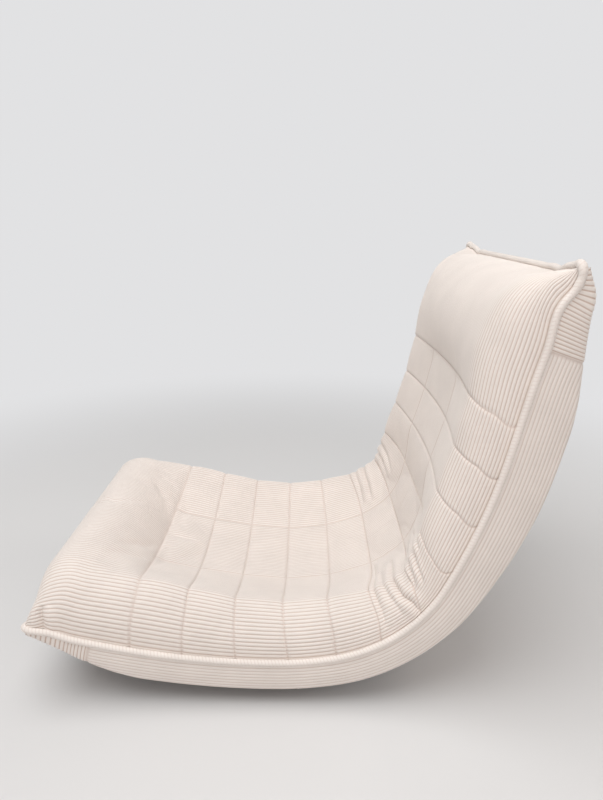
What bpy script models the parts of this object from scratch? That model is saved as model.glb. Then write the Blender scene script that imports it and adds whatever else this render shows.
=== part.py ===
"""Swivel recliner: a quilted corduroy floor chair on a steel ring base, with a ratchet recline."""
import math

import bmesh
import bpy
from mathutils import Matrix, Vector

# Driving dimensions, in metres and degrees. X runs across, -Y is the front and Z is up.
# The origin is on the floor, on the swivel axis.
GAP = 0.0003                # clearance between pieces that seat on each other

# Side seam of the chair, from the front edge over the crease to the top edge
SEAT_WIDTH = 0.560          # across the chair, piping to piping
FRONT_REACH = 0.401         # from the swivel axis forward to the front piping
FRONT_PITCH = -15.0         # the seam falls away from the front edge
FRONT_ROLL_LENGTH = 0.155
FRONT_ROLL_TURN = 4.0
SEAT_LENGTH = 0.235
SEAT_TURN = 11.0
SEAT_REAR_LENGTH = 0.090
SEAT_REAR_TURN = 11.0
CREASE_LENGTH = 0.220
CREASE_TURN = 53.0
LUMBAR_LENGTH = 0.240
LUMBAR_TURN = 14.5
UPPER_BACK_LENGTH = 0.095
UPPER_BACK_TURN = -0.5
HEADREST_LENGTH = 0.120
HEADREST_TURN = -16.0
TOP_CURL_LENGTH = 0.050
TOP_CURL_TURN = 46.0

# Sewn channels
SEAT_CHANNEL_COUNT = 5
CREASE_CHANNEL_COUNT = 2
BACK_CHANNEL_COUNT = 3
CREASE_LEAD = 0.081         # from the start of the crease bend to the last seat channel's seam
CREASE_CHANNEL = 0.0812
BACK_CHANNEL = 0.0812

# Depth of the upholstery from the side seam to the underside or the rear
SEAT_DEPTH = 0.052
BACK_DEPTH = 0.072
EDGE_DEPTH = 0.005
FRONT_TAPER = 0.190
TOP_TAPER = 0.240

# Crown of the quilt above the side seam
FRONT_ROLL_CROWN = 0.085
SEAT_CROWN = 0.029
CREASE_CROWN = 0.010
BACK_CROWN = 0.036
TOP_ROLL_CROWN = 0.074
SEAT_BOLSTER = 0.040        # how far the side columns stand above the middle one
CREASE_BOLSTER = 0.030
BACK_BOLSTER = 0.022
CHANNEL_PUFF = 0.009
PUFF_FULLNESS = 0.6         # a lower power makes the channels fuller beside their seams
SHOULDER_WIDTH = 0.070
FRONT_ROLL_RISE = 0.062     # length over which each roll rounds down to its piping
TOP_ROLL_RISE = 0.046
FRONT_LEAN = 28.0           # the front roll leans forward of the seam's normal
QUILT_BASE = 0.006

# Covers, padding and straps
PIPING_RADIUS = 0.005
BAND_THICKNESS = 0.006
CLOTH_THICKNESS = 0.002
COVER_MARGIN = 0.012        # from the piping to the ends of the bands and covers
FOAM_SIDE_GAP = 0.005
FOAM_FRONT = 0.110
FOAM_TOP = 0.120
STRAP_THICKNESS = 0.002
STRAP_WIDTH = 0.050
SEAT_STRAP_COUNT = 3
BACK_STRAP_COUNT = 2

# Steel frame
TUBE_RADIUS = 0.0095
RAIL_INSET = 0.015          # from the outer surface to the middle of the rails
RAIL_SIDE_INSET = 0.045     # from the side piping to the middle of the seat rails
FRONT_TUBE_AT = 0.165       # seam length at the front cross tube
TOP_TUBE_INSET = 0.105      # from the top piping to the top cross tube
LOWER_TUBE_OFFSET = 0.030   # from the end of the hinge to the lower cross tube
PLATE_TUBE_Y = 0.065

# Ratchet hinge, with angles about its pin
RECLINE_MIN = -12.0         # forward of the rest position
RECLINE_MAX = 66.0
HINGE_PLATE_THICKNESS = 0.003
HINGE_INSET = 0.024         # from the outer surface to the pin
HINGE_REACH = 0.122         # from the pin to the end of each hinge arm
RAIL_TO_PIVOT = 0.057
HINGE_ARM_HALF = 0.0105
HINGE_DISC_RADIUS = 0.020
HINGE_NECK = 0.030          # from the pin to where the arm leaves the disc
TOOTH_DEPTH = 0.0018
TOOTH_PITCH = 6.0
TOOTH_SLOPE = 0.8           # share of the pitch on a tooth's gentle side
HINGE_PIN_RADIUS = 0.005
HINGE_HEAD_RADIUS = 0.009
HINGE_HEAD_THICKNESS = 0.003
PAWL_STUD_AT = 0.0315       # from the pin to the pawl's stud
PAWL_STUD_ANGLE = 12.0      # from the seat arm's direction
PAWL_STUD_RADIUS = 0.0025
PAWL_STUD_PROUD = 0.001
PAWL_BOSS_RADIUS = 0.005
PAWL_NOSE_ANGLE = -34.0
PAWL_NOSE_WIDTH = 0.0045
PAWL_BOSS_INNER = 6.0       # from the stud's direction to where the hook leaves the boss
PAWL_BOSS_OUTER = 12.0
PAWL_BOSS_TURN = 240.0      # how far the boss goes round the stud

# Ring base
FOOT_HEIGHT = 0.004
FOOT_WIDTH = 0.026
FOOT_LENGTH = 0.040
FOOT_WRAP = 0.006           # how far the foot climbs the ring tube
FOOT_COUNT = 4
RING_RADIUS = 0.235
RING_TUBE_RADIUS = 0.007
ARM_INNER = 0.022
BASE_PLATE_RADIUS = 0.100
PLATE_THICKNESS = 0.003

# Swivel bearing
RACE_THICKNESS = 0.003
RACE_SPACE = 0.0026
TRACK_RADIUS = 0.055
LOWER_RACE_INNER = 0.046
LOWER_RACE_OUTER = 0.066
UPPER_RACE_INNER = 0.030
UPPER_RACE_OUTER = 0.064
BALL_RADIUS = 0.0025
BALL_COUNT = 12
CAGE_HALF_WIDTH = 0.006
CAGE_THICKNESS = 0.0012
SWIVEL_PLATE_X = 0.200
SWIVEL_PLATE_Y = 0.160
PLATE_CORNER = 0.012
KING_BOLT_RADIUS = 0.005
KING_HEAD_RADIUS = 0.011
KING_HEAD_HEIGHT = 0.003
KING_NUT_RADIUS = 0.009
KING_NUT_HEIGHT = 0.006
KING_BOLT_END = 0.0012
SEAT_SCREW_COUNT = 4
SCREW_CIRCLE = 0.038
SCREW_RADIUS = 0.0025
SCREW_HEAD_RADIUS = 0.0045
SCREW_HEAD_HEIGHT = 0.0022
HEAD_TOP = 0.75             # flat top of a bolt or screw head, as a share of its radius
CLOTH_WINDOW_MARGIN = 0.006

# Heights in the base, from the floor up
RING_Z = FOOT_HEIGHT + GAP + RING_TUBE_RADIUS
BASE_PLATE_Z = RING_Z + RING_TUBE_RADIUS + GAP
LOWER_RACE_Z = BASE_PLATE_Z + PLATE_THICKNESS + GAP
UPPER_RACE_Z = LOWER_RACE_Z + RACE_THICKNESS + RACE_SPACE
SWIVEL_PLATE_Z = UPPER_RACE_Z + RACE_THICKNESS + GAP
BALL_Z = (LOWER_RACE_Z + RACE_THICKNESS + UPPER_RACE_Z) / 2
SWIVEL_PLATE_TOP = SWIVEL_PLATE_Z + PLATE_THICKNESS
PLATE_TUBE_Z = SWIVEL_PLATE_TOP + GAP + TUBE_RADIUS
UNDERSIDE_Z = PLATE_TUBE_Z - RAIL_INSET

# Lengths along the side seam
SEAM_ARCS = (
    (FRONT_ROLL_LENGTH, FRONT_ROLL_TURN),
    (SEAT_LENGTH, SEAT_TURN),
    (SEAT_REAR_LENGTH, SEAT_REAR_TURN),
    (CREASE_LENGTH, CREASE_TURN),
    (LUMBAR_LENGTH, LUMBAR_TURN),
    (UPPER_BACK_LENGTH, UPPER_BACK_TURN),
    (HEADREST_LENGTH, HEADREST_TURN),
    (TOP_CURL_LENGTH, TOP_CURL_TURN),
)
SEAM_END = sum(length for length, turn in SEAM_ARCS)
SEAT_RUN = SEAT_LENGTH + SEAT_REAR_LENGTH + CREASE_LEAD
CREASE_FROM = FRONT_ROLL_LENGTH + SEAT_RUN
CREASE_TO = CREASE_FROM + CREASE_CHANNEL_COUNT * CREASE_CHANNEL
PIVOT_AT = (CREASE_FROM + CREASE_TO) / 2
TOP_ROLL_FROM = CREASE_TO + BACK_CHANNEL_COUNT * BACK_CHANNEL
QUILT_EDGE = PIPING_RADIUS + GAP
QUILT_HALF = SEAT_WIDTH / 2 - QUILT_EDGE
LONG_SEAM_X = SEAT_WIDTH / 6
BAND_X = QUILT_HALF + GAP
HINGE_FROM = PIVOT_AT - HINGE_REACH
HINGE_TO = PIVOT_AT + HINGE_REACH

# Places across the chair of the two nested frames and the hinge plates between them
RAIL_X = SEAT_WIDTH / 2 - RAIL_SIDE_INSET
SEAT_PLATE_OUT = RAIL_X - TUBE_RADIUS - GAP
SEAT_PLATE_IN = SEAT_PLATE_OUT - HINGE_PLATE_THICKNESS
BACK_PLATE_OUT = SEAT_PLATE_IN - GAP
BACK_PLATE_IN = BACK_PLATE_OUT - HINGE_PLATE_THICKNESS
BACK_RAIL_X = BACK_PLATE_IN - GAP - TUBE_RADIUS

# Layers inside the upholstery, from the outer surface in
STRAP_INSET = RAIL_INSET + TUBE_RADIUS + GAP
FOAM_INSET = STRAP_INSET + STRAP_THICKNESS + GAP

# How finely the soft forms are divided
ROLL_ROWS = 6
CHANNEL_ROWS = 4
SHOULDER_COLUMNS = 5
SIDE_COLUMNS = 4
MIDDLE_COLUMNS = 6
PATH_STEP = 0.020
ACROSS_STEPS = 8
BEAD_STEPS = 8

# How finely the steel is divided
RING_STEPS = 48
GROOVE_SIDES = 16
NOTCH_STEPS = 5
CORNER_STEPS = 4
DISC_STEPS = 24
DISC_SIDE_STEPS = 8
ARM_STEPS = 5
PAWL_STEPS = 8
SEARCH_STEPS = 200

SIDES = ("left", "right")


# Small helpers

def across(side):
    """Which way a side lies along X."""
    return 1.0 if side == "left" else -1.0


def ease(low, high, value):
    """Rise smoothly from 0 at low to 1 at high."""
    share = min(1.0, max(0.0, (value - low) / (high - low)))
    return share * share * (3 - 2 * share)


def mix(first, second, share):
    return first + (second - first) * share


def spread(low, high, count):
    """Evenly spaced values from low to high, both included, in count steps."""
    return [mix(low, high, step / count) for step in range(count + 1)]


def seam_grid():
    """Shared seam lengths, so that pieces sewn along each other bend at the same places."""
    marks = [0.0, COVER_MARGIN, CREASE_FROM, CREASE_TO, SEAM_END - COVER_MARGIN, SEAM_END]
    grid = []
    for low, high in zip(marks, marks[1:]):
        grid += spread(low, high, math.ceil((high - low) / PATH_STEP))[1:]
    return grid


SEAM_GRID = seam_grid()


def stations(low, high):
    """Seam lengths for a sweep from low to high."""
    return [low] + [length for length in SEAM_GRID if low + GAP < length < high - GAP] + [high]


# The side seam and the depth of the upholstery behind it

def walk_seam(length):
    """Place and heading at a length along the seam, before it is raised. Its ends run on straight."""
    y, z, heading = -FRONT_REACH, 0.0, math.radians(FRONT_PITCH)
    left = length
    for arc, turn in SEAM_ARCS:
        step = max(0.0, min(left, arc))
        half_bend = math.radians(turn) * step / arc / 2
        chord = step * math.sin(half_bend) / half_bend if half_bend else step
        y += chord * math.cos(heading + half_bend)
        z += chord * math.sin(heading + half_bend)
        heading += 2 * half_bend
        left -= step
    return y + left * math.cos(heading), z + left * math.sin(heading), heading


def depth(length):
    """From the side seam to the underside or the rear."""
    full = mix(SEAT_DEPTH, BACK_DEPTH, ease(CREASE_FROM, CREASE_TO + 2 * BACK_CHANNEL, length))
    front = math.sin(math.pi / 2 * min(1.0, max(0.0, length / FRONT_TAPER)))
    top = math.sin(math.pi / 2 * min(1.0, max(0.0, (SEAM_END - length) / TOP_TAPER)))
    return EDGE_DEPTH + (full - EDGE_DEPTH) * front * top


def lowest_underside():
    heights = []
    for length in spread(0.0, CREASE_FROM, SEARCH_STEPS):
        y, z, heading = walk_seam(length)
        heights.append(z - depth(length) * math.cos(heading))
    return min(heights)


SEAM_RAISE = UNDERSIDE_Z - lowest_underside()


def at(x, length, out):
    """A point across the chair, along the seam and out of it towards the sitter."""
    y, z, heading = walk_seam(length)
    return Vector((x, y - out * math.sin(heading), z + SEAM_RAISE + out * math.cos(heading)))


def inside(x, length, inset):
    """A point a given way in from the outer surface."""
    return at(x, length, inset - depth(length))


PIVOT = inside(0.0, PIVOT_AT, HINGE_INSET)


# Crown of the quilt

def puff(share):
    """A stuffed channel's rise between two seams."""
    return math.sin(math.pi * min(1.0, max(0.0, share))) ** PUFF_FULLNESS


def along_share(length):
    """Where a length lies between its two cross seams."""
    if length <= CREASE_FROM:
        return (length - FRONT_ROLL_LENGTH) / (SEAT_RUN / SEAT_CHANNEL_COUNT) % 1.0
    if length <= CREASE_TO:
        return (length - CREASE_FROM) / CREASE_CHANNEL % 1.0
    return (length - CREASE_TO) / BACK_CHANNEL % 1.0


def across_share(x):
    """Where a place across lies between its two long seams."""
    if abs(x) <= LONG_SEAM_X:
        return (x + LONG_SEAM_X) / (2 * LONG_SEAM_X)
    return (abs(x) - LONG_SEAM_X) / (QUILT_HALF - LONG_SEAM_X)


def round_edge(distance, width):
    """A quarter round that rises from 0 at the edge to 1 at its full width."""
    share = min(1.0, max(0.0, distance / width))
    return math.sqrt(1 - (1 - share) ** 2)


def crown(x, length):
    """Height of the quilt above the side seam."""
    channel = SEAT_RUN / SEAT_CHANNEL_COUNT
    front = 1 - ease(FRONT_ROLL_LENGTH - channel, FRONT_ROLL_LENGTH + channel / 3, length)
    crease = (ease(CREASE_FROM - channel, PIVOT_AT, length)
              * (1 - ease(PIVOT_AT, CREASE_TO + BACK_CHANNEL, length)))
    back = ease(PIVOT_AT, CREASE_TO + BACK_CHANNEL, length)
    top = ease(TOP_ROLL_FROM - BACK_CHANNEL / 3, TOP_ROLL_FROM + BACK_CHANNEL, length)
    middle = mix(SEAT_CROWN, BACK_CROWN, back)
    middle = mix(middle, CREASE_CROWN, crease)
    bolster = mix(mix(SEAT_BOLSTER, BACK_BOLSTER, back), CREASE_BOLSTER, crease)
    middle += bolster * ease(LONG_SEAM_X / 2, QUILT_HALF - SHOULDER_WIDTH, abs(x))
    middle = mix(middle, FRONT_ROLL_CROWN, front)
    middle = mix(middle, TOP_ROLL_CROWN, top)
    channels = (1 - front) * (1 - top)
    shape = mix(1.0, puff(along_share(length)) * puff(across_share(x)), channels)
    middle += CHANNEL_PUFF * shape
    front_edge = round_edge(length - QUILT_EDGE, FRONT_ROLL_RISE)
    top_edge = round_edge(SEAM_END - QUILT_EDGE - length, TOP_ROLL_RISE)
    return middle * front_edge * top_edge * round_edge(QUILT_HALF - abs(x), SHOULDER_WIDTH)


def quilt_point(x, length):
    """A point on the quilt's face. The front roll leans forward."""
    height = crown(x, length)
    lean = math.tan(math.radians(FRONT_LEAN)) * (1 - ease(QUILT_EDGE, FRONT_ROLL_LENGTH, length))
    return at(x, length - height * lean, height)


# Materials

def finish(name, colour, roughness, metallic=0.0):
    material = bpy.data.materials.new(name)
    material.use_nodes = True
    shader = material.node_tree.nodes["Principled BSDF"]
    shader.inputs["Base Color"].default_value = (*colour, 1.0)
    shader.inputs["Roughness"].default_value = roughness
    shader.inputs["Metallic"].default_value = metallic
    return material


# Making and placing pieces

def add_piece(name, data, material, carrier):
    """One named piece, kept in place under the empty that carries it."""
    piece = bpy.data.objects.new(name, data)
    bpy.context.scene.collection.objects.link(piece)
    data.materials.append(material)
    piece.parent = carrier
    piece.matrix_parent_inverse = carrier.matrix_world.inverted()
    return piece


def add_mesh(name, bm, material, carrier, smooth_angle=35.0):
    bmesh.ops.recalc_face_normals(bm, faces=bm.faces)
    mesh = bpy.data.meshes.new(name)
    bm.to_mesh(mesh)
    bm.free()
    mesh.shade_smooth()
    mesh.set_sharp_from_angle(angle=math.radians(smooth_angle))
    return add_piece(name, mesh, material, carrier)


def add_axis(name, place):
    """An empty on a joint's axis."""
    axis = bpy.data.objects.new(name, None)
    axis.empty_display_size = 0.05
    axis.location = place
    bpy.context.scene.collection.objects.link(axis)
    bpy.context.view_layer.update()
    return axis


def loft(name, sections, material, carrier):
    """A closed body pulled through sections that all have the same number of points."""
    bm = bmesh.new()
    first = [bm.verts.new(point) for point in sections[0]]
    face = bm.faces.new(first)
    for section in sections[1:]:
        face = bmesh.ops.extrude_discrete_faces(bm, faces=[face])["faces"][0]
        for vert, point in zip(face.verts, section):
            vert.co = point
    bm.faces.new(first)
    return add_mesh(name, bm, material, carrier)


def extruded(name, outline, offset, material, carrier):
    """A flat outline given a thickness."""
    return loft(name, [outline, [point + offset for point in outline]], material, carrier)


def tube(name, points, radius, material, carrier, closed=False, bevel_resolution=3):
    """A round tube or cord along points."""
    curve = bpy.data.curves.new(name, "CURVE")
    curve.dimensions = "3D"
    curve.bevel_depth = radius
    curve.bevel_resolution = bevel_resolution
    curve.use_fill_caps = not closed
    spline = curve.splines.new("POLY")
    spline.points.add(len(points) - 1)
    for target, point in zip(spline.points, points):
        target.co = (*point, 1.0)
    spline.use_cyclic_u = closed
    return add_piece(name, curve, material, carrier)


def turned(name, profile, material, carrier, ring=False, segments=28):
    """A body turned about Z. The profile holds radius and height, and a ring's profile closes."""
    bm = bmesh.new()
    verts = [bm.verts.new((radius, 0.0, height)) for radius, height in profile]
    pairs = list(zip(verts, verts[1:]))
    if ring:
        pairs.append((verts[-1], verts[0]))
    edges = [bm.edges.new(pair) for pair in pairs]
    bmesh.ops.spin(bm, geom=verts + edges, axis=(0, 0, 1), cent=(0, 0, 0), angle=math.tau,
                   steps=segments, use_merge=True)
    bmesh.ops.remove_doubles(bm, verts=bm.verts, dist=1e-6)
    return add_mesh(name, bm, material, carrier)


def add_cutter(name, bm):
    """A hidden body that cuts or joins another."""
    bmesh.ops.recalc_face_normals(bm, faces=bm.faces)
    mesh = bpy.data.meshes.new(name)
    bm.to_mesh(mesh)
    bm.free()
    cutter = bpy.data.objects.new(name, mesh)
    cutter.hide_render = True
    cutter.display_type = "WIRE"
    bpy.context.scene.collection.objects.link(cutter)
    return cutter


def round_cutter(name, start, end, radius, segments=20):
    """A round drill from start to end."""
    start = Vector(start)
    run = Vector(end) - start
    turn = run.to_track_quat("Z", "Y").to_matrix().to_4x4()
    bm = bmesh.new()
    bmesh.ops.create_cone(bm, cap_ends=True, segments=segments, radius1=radius, radius2=radius,
                          depth=run.length, matrix=Matrix.Translation(start + run / 2) @ turn)
    return add_cutter(name, bm)


def combine(piece, tool, operation="DIFFERENCE"):
    boolean = piece.modifiers.new(tool.name, "BOOLEAN")
    boolean.operation = operation
    boolean.object = tool
    boolean.solver = "EXACT"


def slab(name, low, high, x_half, lower, upper, material, carrier):
    """A layer across the chair between two offsets from the side seam."""
    sections = []
    for length in stations(low, high):
        bottom, top = lower(length), upper(length)
        sections.append([at(-x_half, length, bottom), at(x_half, length, bottom),
                         at(x_half, length, top), at(-x_half, length, top)])
    return loft(name, sections, material, carrier)


def around(centre, radius, angle):
    """A point about a centre in the side plane, angle in degrees from +Y towards +Z."""
    turn = math.radians(angle)
    return centre + radius * Vector((0.0, math.cos(turn), math.sin(turn)))


def arc_points(centre, radius, start, end, steps):
    return [around(centre, radius, angle) for angle in spread(start, end, steps)]


def polar(radius, angle, height=0.0):
    """A point about the swivel axis, angle in degrees."""
    return Vector((radius * math.cos(math.radians(angle)), radius * math.sin(math.radians(angle)), height))


# Ring base

def make_ring(steel, carrier):
    points = [polar(RING_RADIUS, angle, RING_Z) for angle in spread(0.0, 360.0, RING_STEPS)[:-1]]
    tube("base_ring", points, RING_TUBE_RADIUS, steel, carrier, closed=True)
    reach = RING_RADIUS * math.cos(math.pi / RING_STEPS) - RING_TUBE_RADIUS - GAP
    for number in range(FOOT_COUNT):
        angle = (number + 0.5) * 360 / FOOT_COUNT
        ends = [polar(ARM_INNER, angle, RING_Z), polar(reach, angle, RING_Z)]
        tube(f"base_arm_{number + 1}", ends, RING_TUBE_RADIUS, steel, carrier)


def make_feet(rubber, carrier):
    """Rubber saddles that clip up round the ring tube, midway between the arms."""
    bm = bmesh.new()
    rings = []
    for angle in spread(0.0, 360.0, RING_STEPS)[:-1]:
        ring = []
        for turn in spread(0.0, math.tau, GROOVE_SIDES)[:-1]:
            radius = RING_RADIUS + (RING_TUBE_RADIUS + GAP) * math.cos(turn)
            ring.append(polar(radius, angle, RING_Z + (RING_TUBE_RADIUS + GAP) * math.sin(turn)))
        rings.append(ring)
    loops = [[bm.verts.new(point) for point in ring] for ring in rings]
    edges = [[bm.edges.new((loop[i - 1], loop[i])) for i in range(len(loop))] for loop in loops]
    for number in range(len(edges)):
        bmesh.ops.bridge_loops(bm, edges=edges[number - 1] + edges[number])
    groove = add_cutter("foot_groove", bm)
    for number in range(FOOT_COUNT):
        angle = number * 360 / FOOT_COUNT
        bm = bmesh.new()
        turn = Matrix.Rotation(math.radians(angle), 4, "Z")
        height = FOOT_HEIGHT + FOOT_WRAP
        size = Matrix.Diagonal((FOOT_WIDTH, FOOT_LENGTH, height, 1.0))
        place = Matrix.Translation((RING_RADIUS, 0.0, height / 2))
        bmesh.ops.create_cube(bm, size=1.0, matrix=turn @ place @ size)
        upright = [edge for edge in bm.edges if abs(edge.verts[0].co.z - edge.verts[1].co.z) > GAP]
        bmesh.ops.bevel(bm, geom=upright, offset=FOOT_WIDTH / 4, affect="EDGES", segments=3, profile=0.5,
                        material=-1)
        foot = add_mesh(f"foot_pad_{number + 1}", bm, rubber, carrier)
        combine(foot, groove)


def track_notch(face_z, sign):
    """Profile points of a ball track pressed into a race's face."""
    radius = BALL_RADIUS + GAP
    rise = abs(face_z - BALL_Z)
    half = math.sqrt(radius ** 2 - rise ** 2)
    start = math.atan2(rise, half)
    points = []
    for angle in spread(start, math.pi - start, NOTCH_STEPS):
        points.append((TRACK_RADIUS + radius * math.cos(angle), BALL_Z + sign * radius * math.sin(angle)))
    return points


def make_bearing(steel, bright, base, cage_axis, swivel):
    bore = KING_BOLT_RADIUS + GAP
    plate_top = BASE_PLATE_Z + PLATE_THICKNESS
    turned("base_plate", [(bore, BASE_PLATE_Z), (BASE_PLATE_RADIUS, BASE_PLATE_Z),
                          (BASE_PLATE_RADIUS, plate_top), (bore, plate_top)], steel, base, ring=True)
    lower_face = LOWER_RACE_Z + RACE_THICKNESS
    turned("lower_race", [(LOWER_RACE_INNER, LOWER_RACE_Z), (LOWER_RACE_OUTER, LOWER_RACE_Z),
                          (LOWER_RACE_OUTER, lower_face), *track_notch(lower_face, -1.0),
                          (LOWER_RACE_INNER, lower_face)], bright, base, ring=True)
    upper_top = UPPER_RACE_Z + RACE_THICKNESS
    race = turned("upper_race", [(UPPER_RACE_INNER, upper_top), (UPPER_RACE_OUTER, upper_top),
                                 (UPPER_RACE_OUTER, UPPER_RACE_Z), *track_notch(UPPER_RACE_Z, 1.0),
                                 (UPPER_RACE_INNER, UPPER_RACE_Z)], bright, swivel, ring=True)
    inner, outer = TRACK_RADIUS - CAGE_HALF_WIDTH, TRACK_RADIUS + CAGE_HALF_WIDTH
    low, high = BALL_Z - CAGE_THICKNESS / 2, BALL_Z + CAGE_THICKNESS / 2
    cage = turned("ball_cage", [(inner, low), (outer, low), (outer, high), (inner, high)],
                  bright, cage_axis, ring=True)
    bm = bmesh.new()
    for number in range(BALL_COUNT):
        place = polar(TRACK_RADIUS, number * 360 / BALL_COUNT, BALL_Z)
        bmesh.ops.create_icosphere(bm, subdivisions=1, radius=BALL_RADIUS, matrix=Matrix.Translation(place))
    combine(cage, add_cutter("balls", bm), "UNION")
    return race


def make_king_bolt(bright, base):
    head_z = SWIVEL_PLATE_TOP + GAP
    top_z = head_z + KING_HEAD_HEIGHT
    nut_z = BASE_PLATE_Z - GAP - KING_NUT_HEIGHT
    end_z = nut_z - KING_BOLT_END
    turned("king_bolt", [(0.0, top_z), (KING_HEAD_RADIUS * HEAD_TOP, top_z),
                         (KING_HEAD_RADIUS, head_z + KING_HEAD_HEIGHT / 2), (KING_HEAD_RADIUS, head_z),
                         (KING_BOLT_RADIUS, head_z), (KING_BOLT_RADIUS, end_z), (0.0, end_z)],
           bright, base, segments=24)
    hexagon = [polar(KING_NUT_RADIUS, angle, nut_z) for angle in range(0, 360, 60)]
    nut = extruded("king_nut", hexagon, Vector((0, 0, KING_NUT_HEIGHT)), bright, base)
    combine(nut, round_cutter("nut_bore", (0, 0, 0), (0, 0, BASE_PLATE_Z), KING_BOLT_RADIUS + GAP))


def make_swivel_plate(steel, bright, race, swivel):
    half_x, half_y = SWIVEL_PLATE_X / 2 - PLATE_CORNER, SWIVEL_PLATE_Y / 2 - PLATE_CORNER
    outline = []
    for number, (sign_x, sign_y) in enumerate(((1, 1), (-1, 1), (-1, -1), (1, -1))):
        for angle in spread(number * 90.0, number * 90.0 + 90.0, CORNER_STEPS):
            corner = polar(PLATE_CORNER, angle, SWIVEL_PLATE_Z)
            outline.append(corner + Vector((sign_x * half_x, sign_y * half_y, 0.0)))
    plate = extruded("swivel_plate", outline, Vector((0, 0, PLATE_THICKNESS)), steel, swivel)
    combine(plate, round_cutter("king_hole", (0, 0, 0), (0, 0, PLATE_TUBE_Z), KING_BOLT_RADIUS + GAP))
    for number in range(SEAT_SCREW_COUNT):
        angle = (number + 0.5) * 360 / SEAT_SCREW_COUNT
        hole = round_cutter(f"screw_hole_{number + 1}", polar(SCREW_CIRCLE, angle),
                            polar(SCREW_CIRCLE, angle, PLATE_TUBE_Z), SCREW_RADIUS + GAP, segments=12)
        combine(plate, hole)
        combine(race, hole)
        seat_z = SWIVEL_PLATE_TOP + GAP
        top_z, end_z = seat_z + SCREW_HEAD_HEIGHT, UPPER_RACE_Z + GAP
        screw = turned(f"seat_screw_{number + 1}",
                       [(0.0, top_z), (SCREW_HEAD_RADIUS * HEAD_TOP, top_z), (SCREW_HEAD_RADIUS, seat_z),
                        (SCREW_RADIUS, seat_z), (SCREW_RADIUS, end_z), (0.0, end_z)],
                       bright, swivel, segments=12)
        screw.location = polar(SCREW_CIRCLE, angle)


# Steel frames

def rail_points(x, low, high):
    return [inside(x, length, RAIL_INSET) for length in stations(low, high)]


def cross_tube(name, length, x_half, steel, carrier):
    tube(name, [inside(-x_half, length, RAIL_INSET), inside(x_half, length, RAIL_INSET)],
         TUBE_RADIUS, steel, carrier)


def make_frames(steel, swivel, recline):
    butt = TUBE_RADIUS + GAP
    top_at = SEAM_END - TOP_TUBE_INSET
    for side in SIDES:
        sign = across(side)
        tube(f"seat_rail_{side}", rail_points(sign * RAIL_X, FRONT_TUBE_AT + butt, PIVOT_AT - RAIL_TO_PIVOT),
             TUBE_RADIUS, steel, swivel)
        tube(f"back_rail_{side}", rail_points(sign * BACK_RAIL_X, PIVOT_AT + RAIL_TO_PIVOT, top_at - butt),
             TUBE_RADIUS, steel, recline)
    cross_tube("front_cross_tube", FRONT_TUBE_AT, RAIL_X + TUBE_RADIUS, steel, swivel)
    cross_tube("top_cross_tube", top_at, BACK_RAIL_X + TUBE_RADIUS, steel, recline)
    cross_tube("lower_cross_tube", HINGE_TO + LOWER_TUBE_OFFSET, BACK_RAIL_X - butt, steel, recline)
    for name, y in (("plate_tube_front", -PLATE_TUBE_Y), ("plate_tube_rear", PLATE_TUBE_Y)):
        x_half = RAIL_X - butt
        tube(name, [Vector((-x_half, y, PLATE_TUBE_Z)), Vector((x_half, y, PLATE_TUBE_Z))],
             TUBE_RADIUS, steel, swivel)


def make_straps(webbing, swivel, recline):
    def strap(name, middle, x_half, carrier):
        slab(name, middle - STRAP_WIDTH / 2, middle + STRAP_WIDTH / 2, x_half,
             lambda length: STRAP_INSET - depth(length),
             lambda length: STRAP_INSET + STRAP_THICKNESS - depth(length), webbing, carrier)

    places = spread(FRONT_TUBE_AT + STRAP_WIDTH, HINGE_FROM - STRAP_WIDTH, SEAT_STRAP_COUNT - 1)
    for number, middle in enumerate(places):
        strap(f"seat_strap_{number + 1}", middle, RAIL_X + TUBE_RADIUS, swivel)
    places = spread(HINGE_TO + 2 * STRAP_WIDTH, SEAM_END - TOP_TUBE_INSET - STRAP_WIDTH, BACK_STRAP_COUNT - 1)
    for number, middle in enumerate(places):
        strap(f"back_strap_{number + 1}", middle, BACK_RAIL_X + TUBE_RADIUS, recline)


# Ratchet hinges

def seat_arm_angle():
    """Direction from the hinge pin back along the seat, in degrees from +Y towards +Z."""
    return math.degrees(walk_seam(PIVOT_AT)[2]) + 180.0


def tooth_points(centre):
    """Saw teeth on the side of the disc that meets the pawl over the whole recline."""
    first = seat_arm_angle() + PAWL_NOSE_ANGLE + RECLINE_MIN - TOOTH_PITCH
    count = round((RECLINE_MAX - RECLINE_MIN) / TOOTH_PITCH) + 2
    points = []
    for number in range(count):
        start = first + number * TOOTH_PITCH
        points.append(around(centre, HINGE_DISC_RADIUS - TOOTH_DEPTH, start))
        points.append(around(centre, HINGE_DISC_RADIUS, start + TOOTH_SLOPE * TOOTH_PITCH))
    return first, first + count * TOOTH_PITCH, points


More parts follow.
